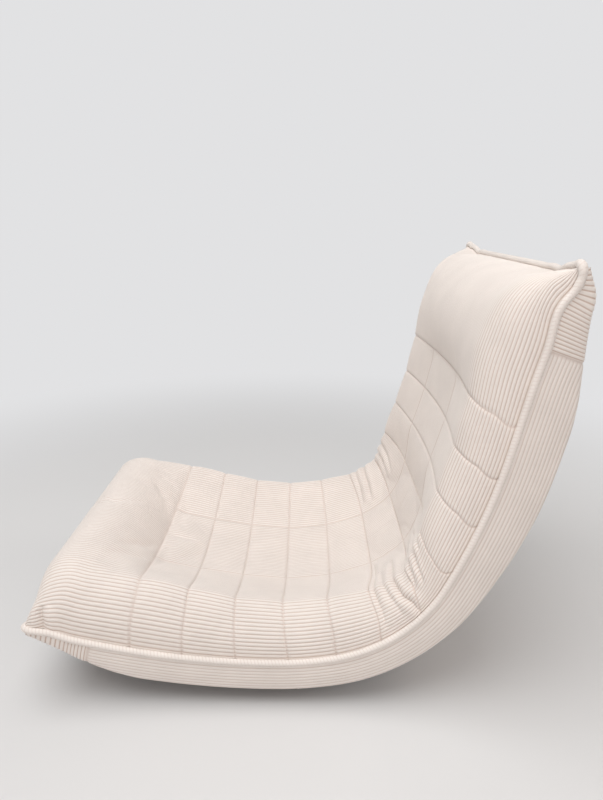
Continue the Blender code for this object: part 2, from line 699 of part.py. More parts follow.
def hinge_outline(x, direction):
    """A disc round the pin with an arm along the rail: -1 runs to the seat, 1 to the back."""
    centre = Vector((x, PIVOT.y, PIVOT.z))
    arm = seat_arm_angle() if direction < 0 else seat_arm_angle() - 180.0
    half = math.degrees(math.asin(HINGE_ARM_HALF / HINGE_DISC_RADIUS))
    if direction < 0:
        points = arc_points(centre, HINGE_DISC_RADIUS, arm + half, arm + 360.0 - half, DISC_STEPS)
    else:
        first, last, teeth = tooth_points(centre)
        before, after = first - TOOTH_PITCH, last + TOOTH_PITCH
        points = arc_points(centre, HINGE_DISC_RADIUS, arm + half, before, DISC_SIDE_STEPS)
        points += teeth
        points += arc_points(centre, HINGE_DISC_RADIUS, after, arm + 360.0 - half, DISC_SIDE_STEPS)
    lengths = spread(PIVOT_AT + direction * HINGE_NECK, PIVOT_AT + direction * HINGE_REACH, ARM_STEPS)

    def edge(offset):
        points = []
        for length in lengths:
            inset = mix(HINGE_INSET, RAIL_INSET, ease(0.0, HINGE_REACH, abs(length - PIVOT_AT)))
            points.append(inside(x, length, inset + offset))
        return points

    return points + edge(-direction * HINGE_ARM_HALF) + edge(direction * HINGE_ARM_HALF)[::-1]


def pawl_stud(x):
    """Middle of the stud that carries the pawl."""
    return around(Vector((x, PIVOT.y, PIVOT.z)), PAWL_STUD_AT, seat_arm_angle() + PAWL_STUD_ANGLE)


def pawl_outline(x):
    """A hook that curls round the toothed disc from its stud to its nose."""
    centre = Vector((x, PIVOT.y, PIVOT.z))
    arm = seat_arm_angle()
    inner = HINGE_DISC_RADIUS + GAP
    outer = inner + PAWL_NOSE_WIDTH
    boss = arm + PAWL_STUD_ANGLE
    rear = boss + 180.0
    points = arc_points(centre, inner, arm + PAWL_NOSE_ANGLE, boss - PAWL_BOSS_INNER, PAWL_STEPS)
    points += arc_points(pawl_stud(x), PAWL_BOSS_RADIUS, rear, rear - PAWL_BOSS_TURN, PAWL_STEPS)
    points += arc_points(centre, outer, boss - PAWL_BOSS_OUTER, arm + PAWL_NOSE_ANGLE, PAWL_STEPS)
    return points


def make_hinges(steel, bright, swivel, recline, pawl_axes):
    for side in SIDES:
        sign = across(side)
        thickness = Vector((sign * HINGE_PLATE_THICKNESS, 0.0, 0.0))
        seat_in, back_in = sign * SEAT_PLATE_IN, sign * BACK_PLATE_IN
        seat_plate = extruded(f"hinge_seat_plate_{side}", hinge_outline(seat_in, -1), thickness,
                              steel, swivel)
        back_plate = extruded(f"hinge_back_plate_{side}", hinge_outline(back_in, 1), thickness,
                              steel, recline)
        pawl = extruded(f"pawl_{side}", pawl_outline(back_in), thickness, bright, pawl_axes[side])

        pin_in = PIVOT + Vector((sign * (BACK_PLATE_IN - GAP - HINGE_HEAD_THICKNESS), 0.0, 0.0))
        pin_out = PIVOT + Vector((sign * (SEAT_PLATE_OUT + GAP + HINGE_HEAD_THICKNESS), 0.0, 0.0))
        hole = round_cutter(f"hinge_hole_{side}", pin_in, pin_out, HINGE_PIN_RADIUS + GAP)
        combine(seat_plate, hole)
        combine(back_plate, hole)
        stud_end = pawl_stud(sign * (BACK_PLATE_IN - PAWL_STUD_PROUD))
        stud_root = pawl_stud(sign * (SEAT_PLATE_IN + SEAT_PLATE_OUT) / 2)
        combine(seat_plate, round_cutter(f"stud_{side}", stud_end, stud_root, PAWL_STUD_RADIUS), "UNION")
        combine(pawl, round_cutter(f"stud_hole_{side}", stud_end, stud_root, PAWL_STUD_RADIUS + GAP))

        length = pin_out.x * sign - pin_in.x * sign
        head, shank = HINGE_HEAD_RADIUS, HINGE_PIN_RADIUS
        pin = turned(f"hinge_pin_{side}",
                     [(0.0, length), (head, length), (head, length - HINGE_HEAD_THICKNESS),
                      (shank, length - HINGE_HEAD_THICKNESS), (shank, HINGE_HEAD_THICKNESS),
                      (head, HINGE_HEAD_THICKNESS), (head, 0.0), (0.0, 0.0)], bright, swivel, segments=20)
        pin.rotation_euler = (0.0, sign * math.pi / 2, 0.0)
        pin.location = pin_in


# Upholstery

def quilt_columns():
    """Places across the quilt, close together where it rounds over to the piping."""
    side = []
    for angle in spread(0.0, math.pi / 2, SHOULDER_COLUMNS):
        side.append(QUILT_HALF - SHOULDER_WIDTH * (1 - math.cos(angle)))
    side += spread(QUILT_HALF - SHOULDER_WIDTH, LONG_SEAM_X, SIDE_COLUMNS)[1:]
    middle = spread(LONG_SEAM_X, -LONG_SEAM_X, MIDDLE_COLUMNS)[1:-1]
    return side + middle + [-x for x in reversed(side)]


def roll_rows(start, rise, end):
    """Seam lengths over a roll, close together where it rounds down to the piping at its start."""
    run = math.copysign(rise, end - start)
    rows = [start + run * (1 - math.cos(angle)) for angle in spread(0.0, math.pi / 2, ROLL_ROWS)]
    return rows + spread(start + run, end, math.ceil(abs(end - start - run) / PATH_STEP))[1:]


def quilt(name, rows, material, carrier):
    """Stuffed and channelled top cover, with a flat base on the foam."""
    columns = quilt_columns()
    sections = []
    for length in rows:
        base = -min(QUILT_BASE, depth(length) / 2)
        section = [quilt_point(x, length) for x in columns]
        section += [at(-QUILT_HALF, length, base), at(QUILT_HALF, length, base)]
        sections.append(section)
    return loft(name, sections, material, carrier)


def make_quilts(corduroy, swivel, recline):
    seat_rows = roll_rows(QUILT_EDGE, FRONT_ROLL_RISE, FRONT_ROLL_LENGTH)
    seat_rows += spread(FRONT_ROLL_LENGTH, CREASE_FROM - GAP, SEAT_CHANNEL_COUNT * CHANNEL_ROWS)[1:]
    quilt("seat_quilt", seat_rows, corduroy, swivel)
    crease_rows = spread(CREASE_FROM, CREASE_TO, CREASE_CHANNEL_COUNT * CHANNEL_ROWS)
    quilt("crease_quilt", crease_rows, corduroy, swivel)
    back_rows = spread(CREASE_TO + GAP, TOP_ROLL_FROM, BACK_CHANNEL_COUNT * CHANNEL_ROWS)[:-1]
    back_rows += roll_rows(SEAM_END - QUILT_EDGE, TOP_ROLL_RISE, TOP_ROLL_FROM)[::-1]
    quilt("back_quilt", back_rows, corduroy, recline)


def make_foam(foam, swivel, recline):
    def block(name, low, high, carrier):
        slab(name, low, high, QUILT_HALF - FOAM_SIDE_GAP, lambda length: FOAM_INSET - depth(length),
             lambda length: -QUILT_BASE - GAP, foam, carrier)

    block("seat_foam", FOAM_FRONT, HINGE_FROM - GAP, swivel)
    block("back_foam", HINGE_TO + GAP, SEAM_END - FOAM_TOP, recline)


def make_bands(corduroy, swivel, recline):
    def band(name, sign, low, high, carrier):
        inner, outer = sign * BAND_X, sign * (BAND_X + BAND_THICKNESS)
        sections = []
        for length in stations(low, high):
            lower = -depth(length)
            sections.append([at(inner, length, lower), at(outer, length, lower),
                             at(outer, length, -QUILT_EDGE), at(inner, length, -QUILT_EDGE)])
        loft(name, sections, corduroy, carrier)

    for side in SIDES:
        sign = across(side)
        band(f"seat_band_{side}", sign, COVER_MARGIN, CREASE_FROM - GAP, swivel)
        band(f"back_band_{side}", sign, CREASE_TO + GAP, SEAM_END - COVER_MARGIN, recline)
        make_gusset(f"hinge_gusset_{side}", sign, corduroy, swivel)


def make_gusset(name, sign, corduroy, carrier):
    """Side of the crease: a band with its piping sewn along the top."""
    outer = BAND_X + BAND_THICKNESS
    beads = []
    start = math.acos((outer - SEAT_WIDTH / 2) / PIPING_RADIUS)
    for angle in spread(-start, math.pi, BEAD_STEPS):
        beads.append((SEAT_WIDTH / 2 + PIPING_RADIUS * math.cos(angle), PIPING_RADIUS * math.sin(angle)))
    sections = []
    for length in stations(CREASE_FROM, CREASE_TO):
        outline = [(BAND_X, -depth(length)), (outer, -depth(length)), *beads]
        sections.append([at(sign * x, length, out) for x, out in outline])
    loft(name, sections, corduroy, carrier)


def make_piping(corduroy, swivel, recline):
    half = SEAT_WIDTH / 2
    edge = spread(half, -half, ACROSS_STEPS)
    forward = stations(0.0, CREASE_FROM - GAP)
    seat = [at(half, length, 0.0) for length in reversed(forward)]
    seat += [at(x, 0.0, 0.0) for x in edge[1:-1]]
    seat += [at(-half, length, 0.0) for length in forward]
    tube("seat_piping", seat, PIPING_RADIUS, corduroy, swivel, bevel_resolution=2)
    upward = stations(CREASE_TO + GAP, SEAM_END)
    back = [at(half, length, 0.0) for length in upward]
    back += [at(x, SEAM_END, 0.0) for x in edge[1:-1]]
    back += [at(-half, length, 0.0) for length in reversed(upward)]
    tube("back_piping", back, PIPING_RADIUS, corduroy, recline, bevel_resolution=2)


def make_cloths(lining, corduroy, swivel, recline):
    def cloth(name, low, high, material, carrier):
        return slab(name, low, high, QUILT_HALF, lambda length: -depth(length),
                    lambda length: CLOTH_THICKNESS - depth(length), material, carrier)

    underside = cloth("underside_cloth", COVER_MARGIN, CREASE_FROM - GAP, lining, swivel)
    bm = bmesh.new()
    window = (2 * (RAIL_X - TUBE_RADIUS), SWIVEL_PLATE_Y + 2 * CLOTH_WINDOW_MARGIN, 4 * SEAT_DEPTH, 1.0)
    bmesh.ops.create_cube(bm, size=1.0, matrix=Matrix.Diagonal(window))
    combine(underside, add_cutter("swivel_window", bm))
    cloth("rear_gusset", CREASE_FROM, CREASE_TO, corduroy, swivel)
    cloth("rear_cover", CREASE_TO + GAP, SEAM_END - COVER_MARGIN, corduroy, recline)


def main():
    for old in list(bpy.data.objects):
        bpy.data.objects.remove(old)
    black_steel = finish("black_steel", (0.02, 0.02, 0.022), 0.45, 0.6)
    zinc = finish("zinc_plate", (0.62, 0.62, 0.60), 0.35, 1.0)
    rubber = finish("rubber", (0.03, 0.03, 0.03), 0.85)
    corduroy = finish("corduroy", (0.80, 0.74, 0.69), 0.92)
    lining = finish("lining", (0.05, 0.05, 0.05), 0.95)
    foam = finish("foam", (0.85, 0.80, 0.62), 0.95)
    webbing = finish("webbing", (0.10, 0.10, 0.11), 0.85)

    base = add_axis("base_axis", (0.0, 0.0, 0.0))
    cage_axis = add_axis("cage_axis", (0.0, 0.0, BALL_Z))
    swivel = add_axis("swivel_axis", (0.0, 0.0, UPPER_RACE_Z))
    recline = add_axis("recline_axis", PIVOT)
    pawl_axes = {}
    for side in SIDES:
        pawl_axes[side] = add_axis(f"pawl_axis_{side}", pawl_stud(across(side) * BACK_PLATE_IN))

    make_ring(black_steel, base)
    make_feet(rubber, base)
    race = make_bearing(black_steel, zinc, base, cage_axis, swivel)
    make_king_bolt(zinc, base)
    make_swivel_plate(black_steel, zinc, race, swivel)
    make_frames(black_steel, swivel, recline)
    make_straps(webbing, swivel, recline)
    make_hinges(black_steel, zinc, swivel, recline, pawl_axes)
    make_foam(foam, swivel, recline)
    make_quilts(corduroy, swivel, recline)
    make_bands(corduroy, swivel, recline)
    make_piping(corduroy, swivel, recline)
    make_cloths(lining, corduroy, swivel, recline)


main()
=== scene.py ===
"""Looks of the swivel recliner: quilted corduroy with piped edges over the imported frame."""
import math

import bmesh
import bpy
import numpy as np
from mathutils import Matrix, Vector


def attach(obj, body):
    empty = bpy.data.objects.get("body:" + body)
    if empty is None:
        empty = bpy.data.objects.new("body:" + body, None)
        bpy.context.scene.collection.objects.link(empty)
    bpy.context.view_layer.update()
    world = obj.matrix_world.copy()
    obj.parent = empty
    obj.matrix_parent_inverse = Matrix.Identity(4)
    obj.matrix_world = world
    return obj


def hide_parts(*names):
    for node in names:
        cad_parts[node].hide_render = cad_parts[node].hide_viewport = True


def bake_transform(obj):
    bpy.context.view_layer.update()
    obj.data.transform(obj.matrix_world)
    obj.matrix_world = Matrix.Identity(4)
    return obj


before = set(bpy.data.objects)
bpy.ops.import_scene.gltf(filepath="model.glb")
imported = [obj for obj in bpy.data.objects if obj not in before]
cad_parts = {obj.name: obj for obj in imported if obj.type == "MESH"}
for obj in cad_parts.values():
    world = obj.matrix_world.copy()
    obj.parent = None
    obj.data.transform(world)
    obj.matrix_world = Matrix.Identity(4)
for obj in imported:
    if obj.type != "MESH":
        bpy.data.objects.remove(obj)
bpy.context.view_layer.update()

# Sizes of the upholstery, in metres and degrees. The side seam, the channels and the depths are those of
# the part's source, and the crowns are the stuffed cloth's own
SEAT_WIDTH = 0.560
FRONT_REACH = 0.401
FRONT_PITCH = -15.0
FRONT_ROLL_LENGTH = 0.155
SEAM_ARCS = (
    (FRONT_ROLL_LENGTH, 4.0),
    (0.235, 11.0),      # seat
    (0.090, 11.0),      # rear of the seat
    (0.220, 53.0),      # crease
    (0.240, 14.5),      # lumbar
    (0.095, -0.5),      # upper back
    (0.120, -16.0),     # headrest
    (0.050, 46.0),      # top curl
)
SEAM_RAISE = 0.13795    # height of the seam's front end
SEAM_END = sum(length for length, turn in SEAM_ARCS)
SEAM_RUN_ON = 0.2       # straight, past each end
SEAM_STEPS = 3000
SEAT_CHANNEL = 0.0812
SEAT_CHANNEL_COUNT = 5
CREASE_CHANNEL_COUNT = 2
BACK_CHANNEL = SEAT_CHANNEL
BACK_CHANNEL_COUNT = 3
CHANNEL_COUNT = SEAT_CHANNEL_COUNT + CREASE_CHANNEL_COUNT + BACK_CHANNEL_COUNT
CREASE_FROM = FRONT_ROLL_LENGTH + SEAT_CHANNEL_COUNT * SEAT_CHANNEL
CREASE_TO = CREASE_FROM + CREASE_CHANNEL_COUNT * BACK_CHANNEL
PIVOT_AT = (CREASE_FROM + CREASE_TO) / 2
TOP_ROLL_FROM = CREASE_TO + BACK_CHANNEL_COUNT * BACK_CHANNEL
SEAT_DEPTH = 0.052
BACK_DEPTH = 0.072
EDGE_DEPTH = 0.005
FRONT_TAPER = 0.190
TOP_TAPER = 0.240
TOP_PINCH = 0.0045      # how far the rear is drawn in just below the top edge
TOP_PINCH_AT = 0.018
TOP_PINCH_LENGTH = 0.014
FRONT_ROLL_CROWN = 0.094
SEAT_CROWN = 0.019
CREASE_CROWN = 0.008
BACK_CROWN = 0.042
TOP_ROLL_CROWN = 0.070
SEAT_BOLSTER = 0.056
FRONT_BOLSTER = 0.010   # more beside the front roll
FRONT_BOLSTER_LENGTH = 0.200
CREASE_BOLSTER = 0.038
BACK_BOLSTER = 0.022
CHANNEL_PUFF = 0.003
PUFF_POWER = 0.6        # below 1, so that a channel is full up to its seams
SHOULDER_WIDTH = 0.070
FRONT_SHOULDER = 0.015  # wider at the front corners
BOLSTER_TOP = 0.225     # from the middle to the bolster's highest place
FRONT_ROLL_RISE = 0.080
TOP_ROLL_RISE = 0.046
FRONT_LEAN = 28.0
QUILT_BASE = 0.006
CLOTH_SPREAD = 0.020    # shift of the cloth over the hollow, to a radian of the seam's turn
SPREAD_HEIGHT = 0.040   # of the crown, at which that shift is full
CREASE_DRIFT = 0.011    # how far the seams of the crease are pushed up between the piped edges
EDGE_DRIFT = 0.010      # how far the seams are pushed up at the piped edges
SHOULDER_SAG = 0.016    # how far the seams of the back sag over the round shoulders
GATHER_SAG = 0.008      # more at the first seam of the back, where the cloth is gathered
FRONT_DRIFT = 0.011     # how far the front roll's seam is pushed back on the bolsters
FRONT_DISH = 0.013      # rise of the seat's middle towards the front roll
FRONT_DISH_LENGTH = 0.285
PIPING_RADIUS = 0.005
QUILT_EDGE = PIPING_RADIUS
QUILT_HALF = SEAT_WIDTH / 2 - QUILT_EDGE
LONG_SEAM_X = SEAT_WIDTH / 6

# Corduroy
WALE = 0.0055           # from rib to rib
RIB_HEIGHT = 0.0011
RIB_STEPS = 5           # columns to each rib
SEAM_GROOVE = 0.0014    # how wide a seam is
SEAM_DEPTH = 0.0015
SEAM_PRESS = 0.6        # of a rib's height, pressed flat at a seam
SEAM_FADE = 0.002       # over which the long seams end
# How strongly the ribs show, by the shade painted into their grooves; on the bands and their caps the ribs'
# height is scaled too
QUILT_RIB_SHADE = 1.0         # how strongly the ribs show
BAND_RIB_SHADE = 0.7
CAP_RIB_SHADE = 1.3
PIPING_RIB_SHADE = 0.35
PLAIN_CLOTH = (0.5, 0.0, 0.0)   # on a rib's top, with no grooves and no seam

# Lengths that count as none
WELD = 1e-6
TINY = 1e-9


# Small helpers

def ease(low, high, value):
    """Rise smoothly from 0 at low to 1 at high."""
    share = np.clip((value - low) / (high - low), 0.0, 1.0)
    return share * share * (3 - 2 * share)


def mix(first, second, share):
    return first + (second - first) * share


def dip(distance, width):
    """A smooth dip that is 1 on a line and fades out over a width."""
    return np.exp(-((distance / width) ** 2))


# The side seam and the upholstery's depth

def seam_places():
    """Length, place and heading along the side seam, whose ends run on straight."""
    lengths = np.linspace(-SEAM_RUN_ON, SEAM_END + SEAM_RUN_ON, SEAM_STEPS + 1)
    rows = []
    for length in lengths:
        y, z, heading = -FRONT_REACH, SEAM_RAISE, math.radians(FRONT_PITCH)
        left = length
        for arc, turn in SEAM_ARCS:
            step = max(0.0, min(left, arc))
            half_bend = math.radians(turn) * step / arc / 2
            chord = step * math.sin(half_bend) / half_bend if half_bend else step
            y += chord * math.cos(heading + half_bend)
            z += chord * math.sin(heading + half_bend)
            heading += 2 * half_bend
            left -= step
        rows.append((length, y + left * math.cos(heading), z + left * math.sin(heading), heading))
    return np.array(rows).T


SEAM = seam_places()


def depth(length):
    """From the side seam to the underside or the rear."""
    full = mix(SEAT_DEPTH, BACK_DEPTH, ease(CREASE_FROM, CREASE_TO + 2 * BACK_CHANNEL, length))
    front = np.sin(np.pi / 2 * np.clip(length / FRONT_TAPER, 0.0, 1.0))
    top = np.sin(np.pi / 2 * np.clip((SEAM_END - length) / TOP_TAPER, 0.0, 1.0))
    pinch = TOP_PINCH * dip(SEAM_END - TOP_PINCH_AT - length, TOP_PINCH_LENGTH)
    return EDGE_DEPTH + (full - EDGE_DEPTH) * front * top - pinch


# How far the corners are drawn out into ears, and the top edge hangs and waves between them
TOP_SAG = 0.011
TOP_EAR = 0.005
TOP_WAVE = 0.0015
WAVE_LENGTH = 0.060
FRONT_EAR = 0.018
EAR_WIDTH = 0.045
EAR_REACH = 0.060

# How far the side seam bows towards the sitter below the top ears and behind the front corners
TOP_BOW = 0.014
TOP_BOW_AT = SEAM_END - 0.062
TOP_BOW_LENGTH = 0.040
FRONT_BOW = 0.004
FRONT_BOW_AT = 0.036
FRONT_BOW_LENGTH = 0.018
BOW_WIDTH = 0.090


def edge_shift(x, length):
    """How far along the seam a point near the front or top edge is moved."""
    half = SEAT_WIDTH / 2
    from_side = half - np.abs(x)
    corner = (1 - ease(0.0, EAR_WIDTH, from_side)) ** 2
    wave = np.sin(2 * np.pi * from_side / WAVE_LENGTH) * dip(from_side - WAVE_LENGTH, WAVE_LENGTH)
    top = TOP_EAR * corner - TOP_SAG * ease(0.0, 2 * EAR_WIDTH, from_side) - TOP_WAVE * wave
    near_top = ease(SEAM_END - EAR_REACH, SEAM_END, length)
    near_front = 1 - ease(0.0, EAR_REACH, length)
    return top * near_top - FRONT_EAR * corner * near_front


def seam_bow(x, length):
    """How far a point near the side seam is moved out of it."""
    top = TOP_BOW * dip(length - TOP_BOW_AT, TOP_BOW_LENGTH)
    front = FRONT_BOW * dip(length - FRONT_BOW_AT, FRONT_BOW_LENGTH)
    return (top + front) * ease(SEAT_WIDTH / 2 - BOW_WIDTH, SEAT_WIDTH / 2, np.abs(x))


def at(x, length, out):
    """Points across the chair, along the seam and out of it towards the sitter."""
    x, length, out = np.broadcast_arrays(np.asarray(x, float), length, out)
    along = length + edge_shift(x, length)
    out = out + seam_bow(x, length) * ease(-1.0, 0.0, out / depth(length))
    y, z, heading = (np.interp(along, SEAM[0], values) for values in SEAM[1:])
    return np.stack((x, y - out * np.sin(heading), z + out * np.cos(heading)), axis=-1)


# The quilt's crown

def channel_share(length):
    """Where a length lies between its two cross seams, and the distance to the nearer one."""
    share = (length - FRONT_ROLL_LENGTH) / SEAT_CHANNEL % 1.0
    return share, np.minimum(share, 1 - share) * SEAT_CHANNEL


def puff(share):
    """A stuffed channel's rise between two seams."""
    return np.sin(np.pi * np.clip(share, 0.0, 1.0)) ** PUFF_POWER


def round_edge(distance, width):
    """A quarter round that rises from 0 at the edge to 1 at its full width."""
    share = np.clip(distance / width, 0.0, 1.0)
    return np.sqrt(1 - (1 - share) ** 2)


def crown(x, length):
    """Height of the quilt above the side seam."""
    front = 1 - ease(FRONT_ROLL_LENGTH - SEAT_CHANNEL, FRONT_ROLL_LENGTH + SEAT_CHANNEL / 3, length)
    rising = ease(CREASE_FROM - SEAT_CHANNEL, PIVOT_AT, length)
    back = ease(PIVOT_AT, CREASE_TO + BACK_CHANNEL, length)
    crease = rising * (1 - back)
    top = ease(TOP_ROLL_FROM - BACK_CHANNEL / 3, TOP_ROLL_FROM + BACK_CHANNEL, length)
    middle = mix(mix(SEAT_CROWN, BACK_CROWN, back), CREASE_CROWN, crease)
    bolster = mix(mix(SEAT_BOLSTER, BACK_BOLSTER, back), CREASE_BOLSTER, crease)
    dished = 1 - ease(FRONT_ROLL_LENGTH, FRONT_ROLL_LENGTH + FRONT_DISH_LENGTH, length)
    raised = 1 - ease(FRONT_ROLL_LENGTH, FRONT_ROLL_LENGTH + FRONT_BOLSTER_LENGTH, length)
    middle = middle + FRONT_DISH * dished
    bolster = bolster + FRONT_BOLSTER * raised
    middle = middle + bolster * np.clip(np.abs(x) / BOLSTER_TOP, 0.0, 1.0) ** 2
    middle = mix(mix(middle, FRONT_ROLL_CROWN, front), TOP_ROLL_CROWN, top)
    across = np.where(np.abs(x) <= LONG_SEAM_X, (x + LONG_SEAM_X) / (2 * LONG_SEAM_X),
                      (np.abs(x) - LONG_SEAM_X) / (QUILT_HALF - LONG_SEAM_X))
    stuffed = puff(channel_share(length)[0]) * puff(across)
    middle = middle + CHANNEL_PUFF * mix(1.0, stuffed, (1 - front) * (1 - top))
    front_edge = round_edge(length - QUILT_EDGE, FRONT_ROLL_RISE)
    top_edge = round_edge(SEAM_END - QUILT_EDGE - length, TOP_ROLL_RISE)
    shoulder = SHOULDER_WIDTH + FRONT_SHOULDER * (1 - ease(0.0, FRONT_ROLL_LENGTH, length))
    return middle * front_edge * top_edge * round_edge(QUILT_HALF - np.abs(x), shoulder)


def seam_drift(x, length):
    """How far along the chair its cross seams stray from a straight line."""
    inside = round_edge(QUILT_HALF - np.abs(x), SHOULDER_WIDTH)
    bolster = np.clip(np.abs(x) / BOLSTER_TOP, 0.0, 1.0) ** 2 * inside
    shoulder = 4 * inside * (1 - inside)
    back = ease(PIVOT_AT, CREASE_TO, length) * ease(SEAM_END, TOP_ROLL_FROM, length)
    seat = dip(length - FRONT_ROLL_LENGTH - 3 * SEAT_CHANNEL, 1.5 * SEAT_CHANNEL)
    crease = dip(length - CREASE_FROM - SEAT_CHANNEL / 2, 1.5 * SEAT_CHANNEL)
    gather = dip(length - CREASE_TO, SEAT_CHANNEL / 2)
    front = dip(length - FRONT_ROLL_LENGTH, SEAT_CHANNEL / 2)
    return (CREASE_DRIFT * crease * inside + EDGE_DRIFT * (seat + back) * (1 - inside)
            + FRONT_DRIFT * front * bolster - (SHOULDER_SAG * back + GATHER_SAG * gather) * shoulder)


def face_points(x, length):
    """Points on the quilt's face, before the top roll turns over. The front roll leans forward."""
    height = crown(x, length)
    front = 1 - ease(QUILT_EDGE, FRONT_ROLL_LENGTH + SEAT_CHANNEL, length)
    lean = math.tan(math.radians(FRONT_LEAN)) * front
    spread = CLOTH_SPREAD * np.interp(length, SEAM[0], SEAM[3]) * ease(SEAM_END, TOP_ROLL_FROM, length)
    along = length + seam_drift(x, length) + spread * ease(0.0, SPREAD_HEIGHT, height) - height * lean
    return at(x, along, height)


TOP_TURN = 0.125        # length over which the top roll turns over to the piping
TOP_TURN_RISE = 0.070
TOP_TURN_BACK = 0.60    # of the roll's height
TOP_TURN_SIDE = (0.1, 0.7)      # of the shoulders' height, where the turn sets in and is full


def top_turn(x, length):
    """Points on one round curve from the headrest over to the piping."""
    low, high = SEAM_END - TOP_TURN, SEAM_END - QUILT_EDGE
    step = 0.004
    start, end = face_points(x, low + 0 * length), at(x, high + 0 * length, 0.0)
    rise = (start - face_points(x, low - step + 0 * length)) / step * TOP_TURN_RISE
    back = (at(x, high + 0 * length, -step) - end) / step * TOP_TURN_BACK * crown(x, low)[..., None]
    share = np.clip((length - low) / (high - low), 0.0, 1.0)[..., None]
    left = 1 - share
    return (left ** 3 * start + 3 * left ** 2 * share * (start + rise)
            + 3 * left * share ** 2 * (end - back) + share ** 3 * end)


def quilt_points(x, length):
    """Points on the quilt's face, with its edges along the piping."""
    inside = round_edge(QUILT_HALF - np.abs(x), SHOULDER_WIDTH)
    turned = (length > SEAM_END - TOP_TURN) * ease(*TOP_TURN_SIDE, inside)
    return mix(face_points(x, length), top_turn(x, length), turned[..., None])


# Grids of cloth

def normals(points):
    """Unit normals of an array of points, rows by columns."""
    along = np.gradient(points, axis=0)
    across = np.gradient(points, axis=1)
    normal = np.cross(across, along)
    return normal / np.maximum(np.linalg.norm(normal, axis=-1, keepdims=True), TINY)


def rib(wale):
    """A corduroy rib's height: a round top between narrow grooves."""
    return np.sqrt(np.abs(np.sin(np.pi * wale)))


def measures(wale, rib_shade, seam):
    """Of each point: its place across the ribs, how strongly shade is painted into their grooves, and how
    close a seam is, where shade is painted too.
    """
    return np.stack(np.broadcast_arrays(wale, rib_shade, seam), axis=-1)


def with_back(points, cloth, back):
    """A cloth's points and measures, with columns that return behind it to its first edge."""
    points = np.concatenate((points, back, points[:, :1]), axis=1)
    plain_cloth = np.broadcast_to(PLAIN_CLOTH, back.shape)
    return points, np.concatenate((cloth, plain_cloth, cloth[:, :1]), axis=1)


def cloth_grid(points, cloth):
    """A grid whose vertices stand at an array of points, rows by columns, with the cloth's measures."""
    rows, columns = points.shape[:2]
    bm = bmesh.new()
    bmesh.ops.create_grid(bm, x_segments=columns - 1, y_segments=rows - 1, size=0.5)
    layer = bm.verts.layers.float_vector.new("cloth")
    for vert in bm.verts:
        row = round((vert.co.y + 0.5) * (rows - 1))
        column = round((vert.co.x + 0.5) * (columns - 1))
        vert[layer] = cloth[row, column]
        vert.co = points[row, column]
    return bm


def close(bm):
    """Weld the edges that meet, fill the ends and turn every face outwards."""
    rim = {vert for edge in bm.edges if edge.is_boundary for vert in edge.verts}
    bmesh.ops.remove_doubles(bm, verts=list(rim), dist=WELD)
    bmesh.ops.holes_fill(bm, edges=[edge for edge in bm.edges if edge.is_boundary], sides=0)
    bmesh.ops.recalc_face_normals(bm, faces=bm.faces)


def add_piece(name, bm, material, slot, *nodes):
    """A piece in place of the frame's nodes."""
    mesh = bpy.data.meshes.new(name)
    bm.to_mesh(mesh)
    bm.free()
    mesh.shade_smooth()
    mesh.materials.append(material)
    piece = bpy.data.objects.new(name, mesh)
    bpy.context.scene.collection.objects.link(piece)
    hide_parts(*nodes)
    return piece


BEND_FROM = CREASE_FROM + 0.014     # leaves room for the pawls when the back is down
BEND_TO = CREASE_TO - 0.010


def across_crease(piece):
    """Bake the piece's place into its mesh. The ends of the bend over the two channels of the crease are
    found, but nothing uses them, so the piece doesn't bend with the recline.
    """
    start, end = (Vector(at(0.0, length, 0.0)) for length in (BEND_FROM, BEND_TO))
    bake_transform(piece)


# Quilted cover

# From the middle to the piping, over the cloth
COVER_HALF = QUILT_HALF + SHOULDER_WIDTH * (math.pi / 2 - 1)

# Rows of the cover's mesh
FRONT_EDGE_ROWS = 46    # up the front roll's round edge
FRONT_ROWS = 16         # over the rest of the front roll
CHANNEL_ROWS = 9        # to half a channel
CREASE_ROWS = 26        # to half a channel of the crease, for its folds
TOP_ROWS = 58
ROW_CROWDING = 1.5      # above 1, so that rows lie closest at the seams
BASE_COLUMNS = 45


def cover_columns():
    """Wale number and place across, evenly spaced over the round shoulders."""
    flat = QUILT_HALF - SHOULDER_WIDTH
    wales = round(2 * COVER_HALF / WALE)
    wale = np.linspace(0.0, wales, wales * RIB_STEPS + 1)
    along = (wale / wales * 2 - 1) * COVER_HALF
    turn = np.clip((np.abs(along) - flat) / SHOULDER_WIDTH, 0.0, math.pi / 2)
    x = np.where(turn > 0, np.sign(along) * (flat + SHOULDER_WIDTH * np.sin(turn)), along)
    return wale, x


def channel_rows(start, length, steps):
    """Seam lengths over a channel, closest together at its seams."""
    half = length / 2 * (np.arange(steps) / steps) ** ROW_CROWDING
    return np.concatenate((start + half, [start + length / 2], (start + length - half[1:])[::-1]))


def cover_rows():
    """Seam lengths of the cover's rows, from the front piping to the top one."""
    front = QUILT_EDGE + FRONT_ROLL_RISE * (1 - np.cos(np.linspace(0.0, math.pi / 2, FRONT_EDGE_ROWS)))
    rows = [front, np.linspace(front[-1], FRONT_ROLL_LENGTH, FRONT_ROWS)[1:-1]]
    for number in range(CHANNEL_COUNT):
        start = FRONT_ROLL_LENGTH + number * SEAT_CHANNEL
        crease = SEAT_CHANNEL_COUNT <= number < SEAT_CHANNEL_COUNT + CREASE_CHANNEL_COUNT
        rows.append(channel_rows(start, SEAT_CHANNEL, CREASE_ROWS if crease else CHANNEL_ROWS))
    rows.append(np.linspace(TOP_ROLL_FROM, SEAM_END - QUILT_EDGE, TOP_ROWS))
    return np.concatenate(rows)


# Settling of the stuffed pads
PAD_PRESSURE = 2.0
SETTLE_FRAMES = 22
SETTLE_CAP = 0.012
SETTLE_ROWS = 14        # to a channel
SETTLE_FRONT_ROWS = 27
SETTLE_TOP_ROWS = 41


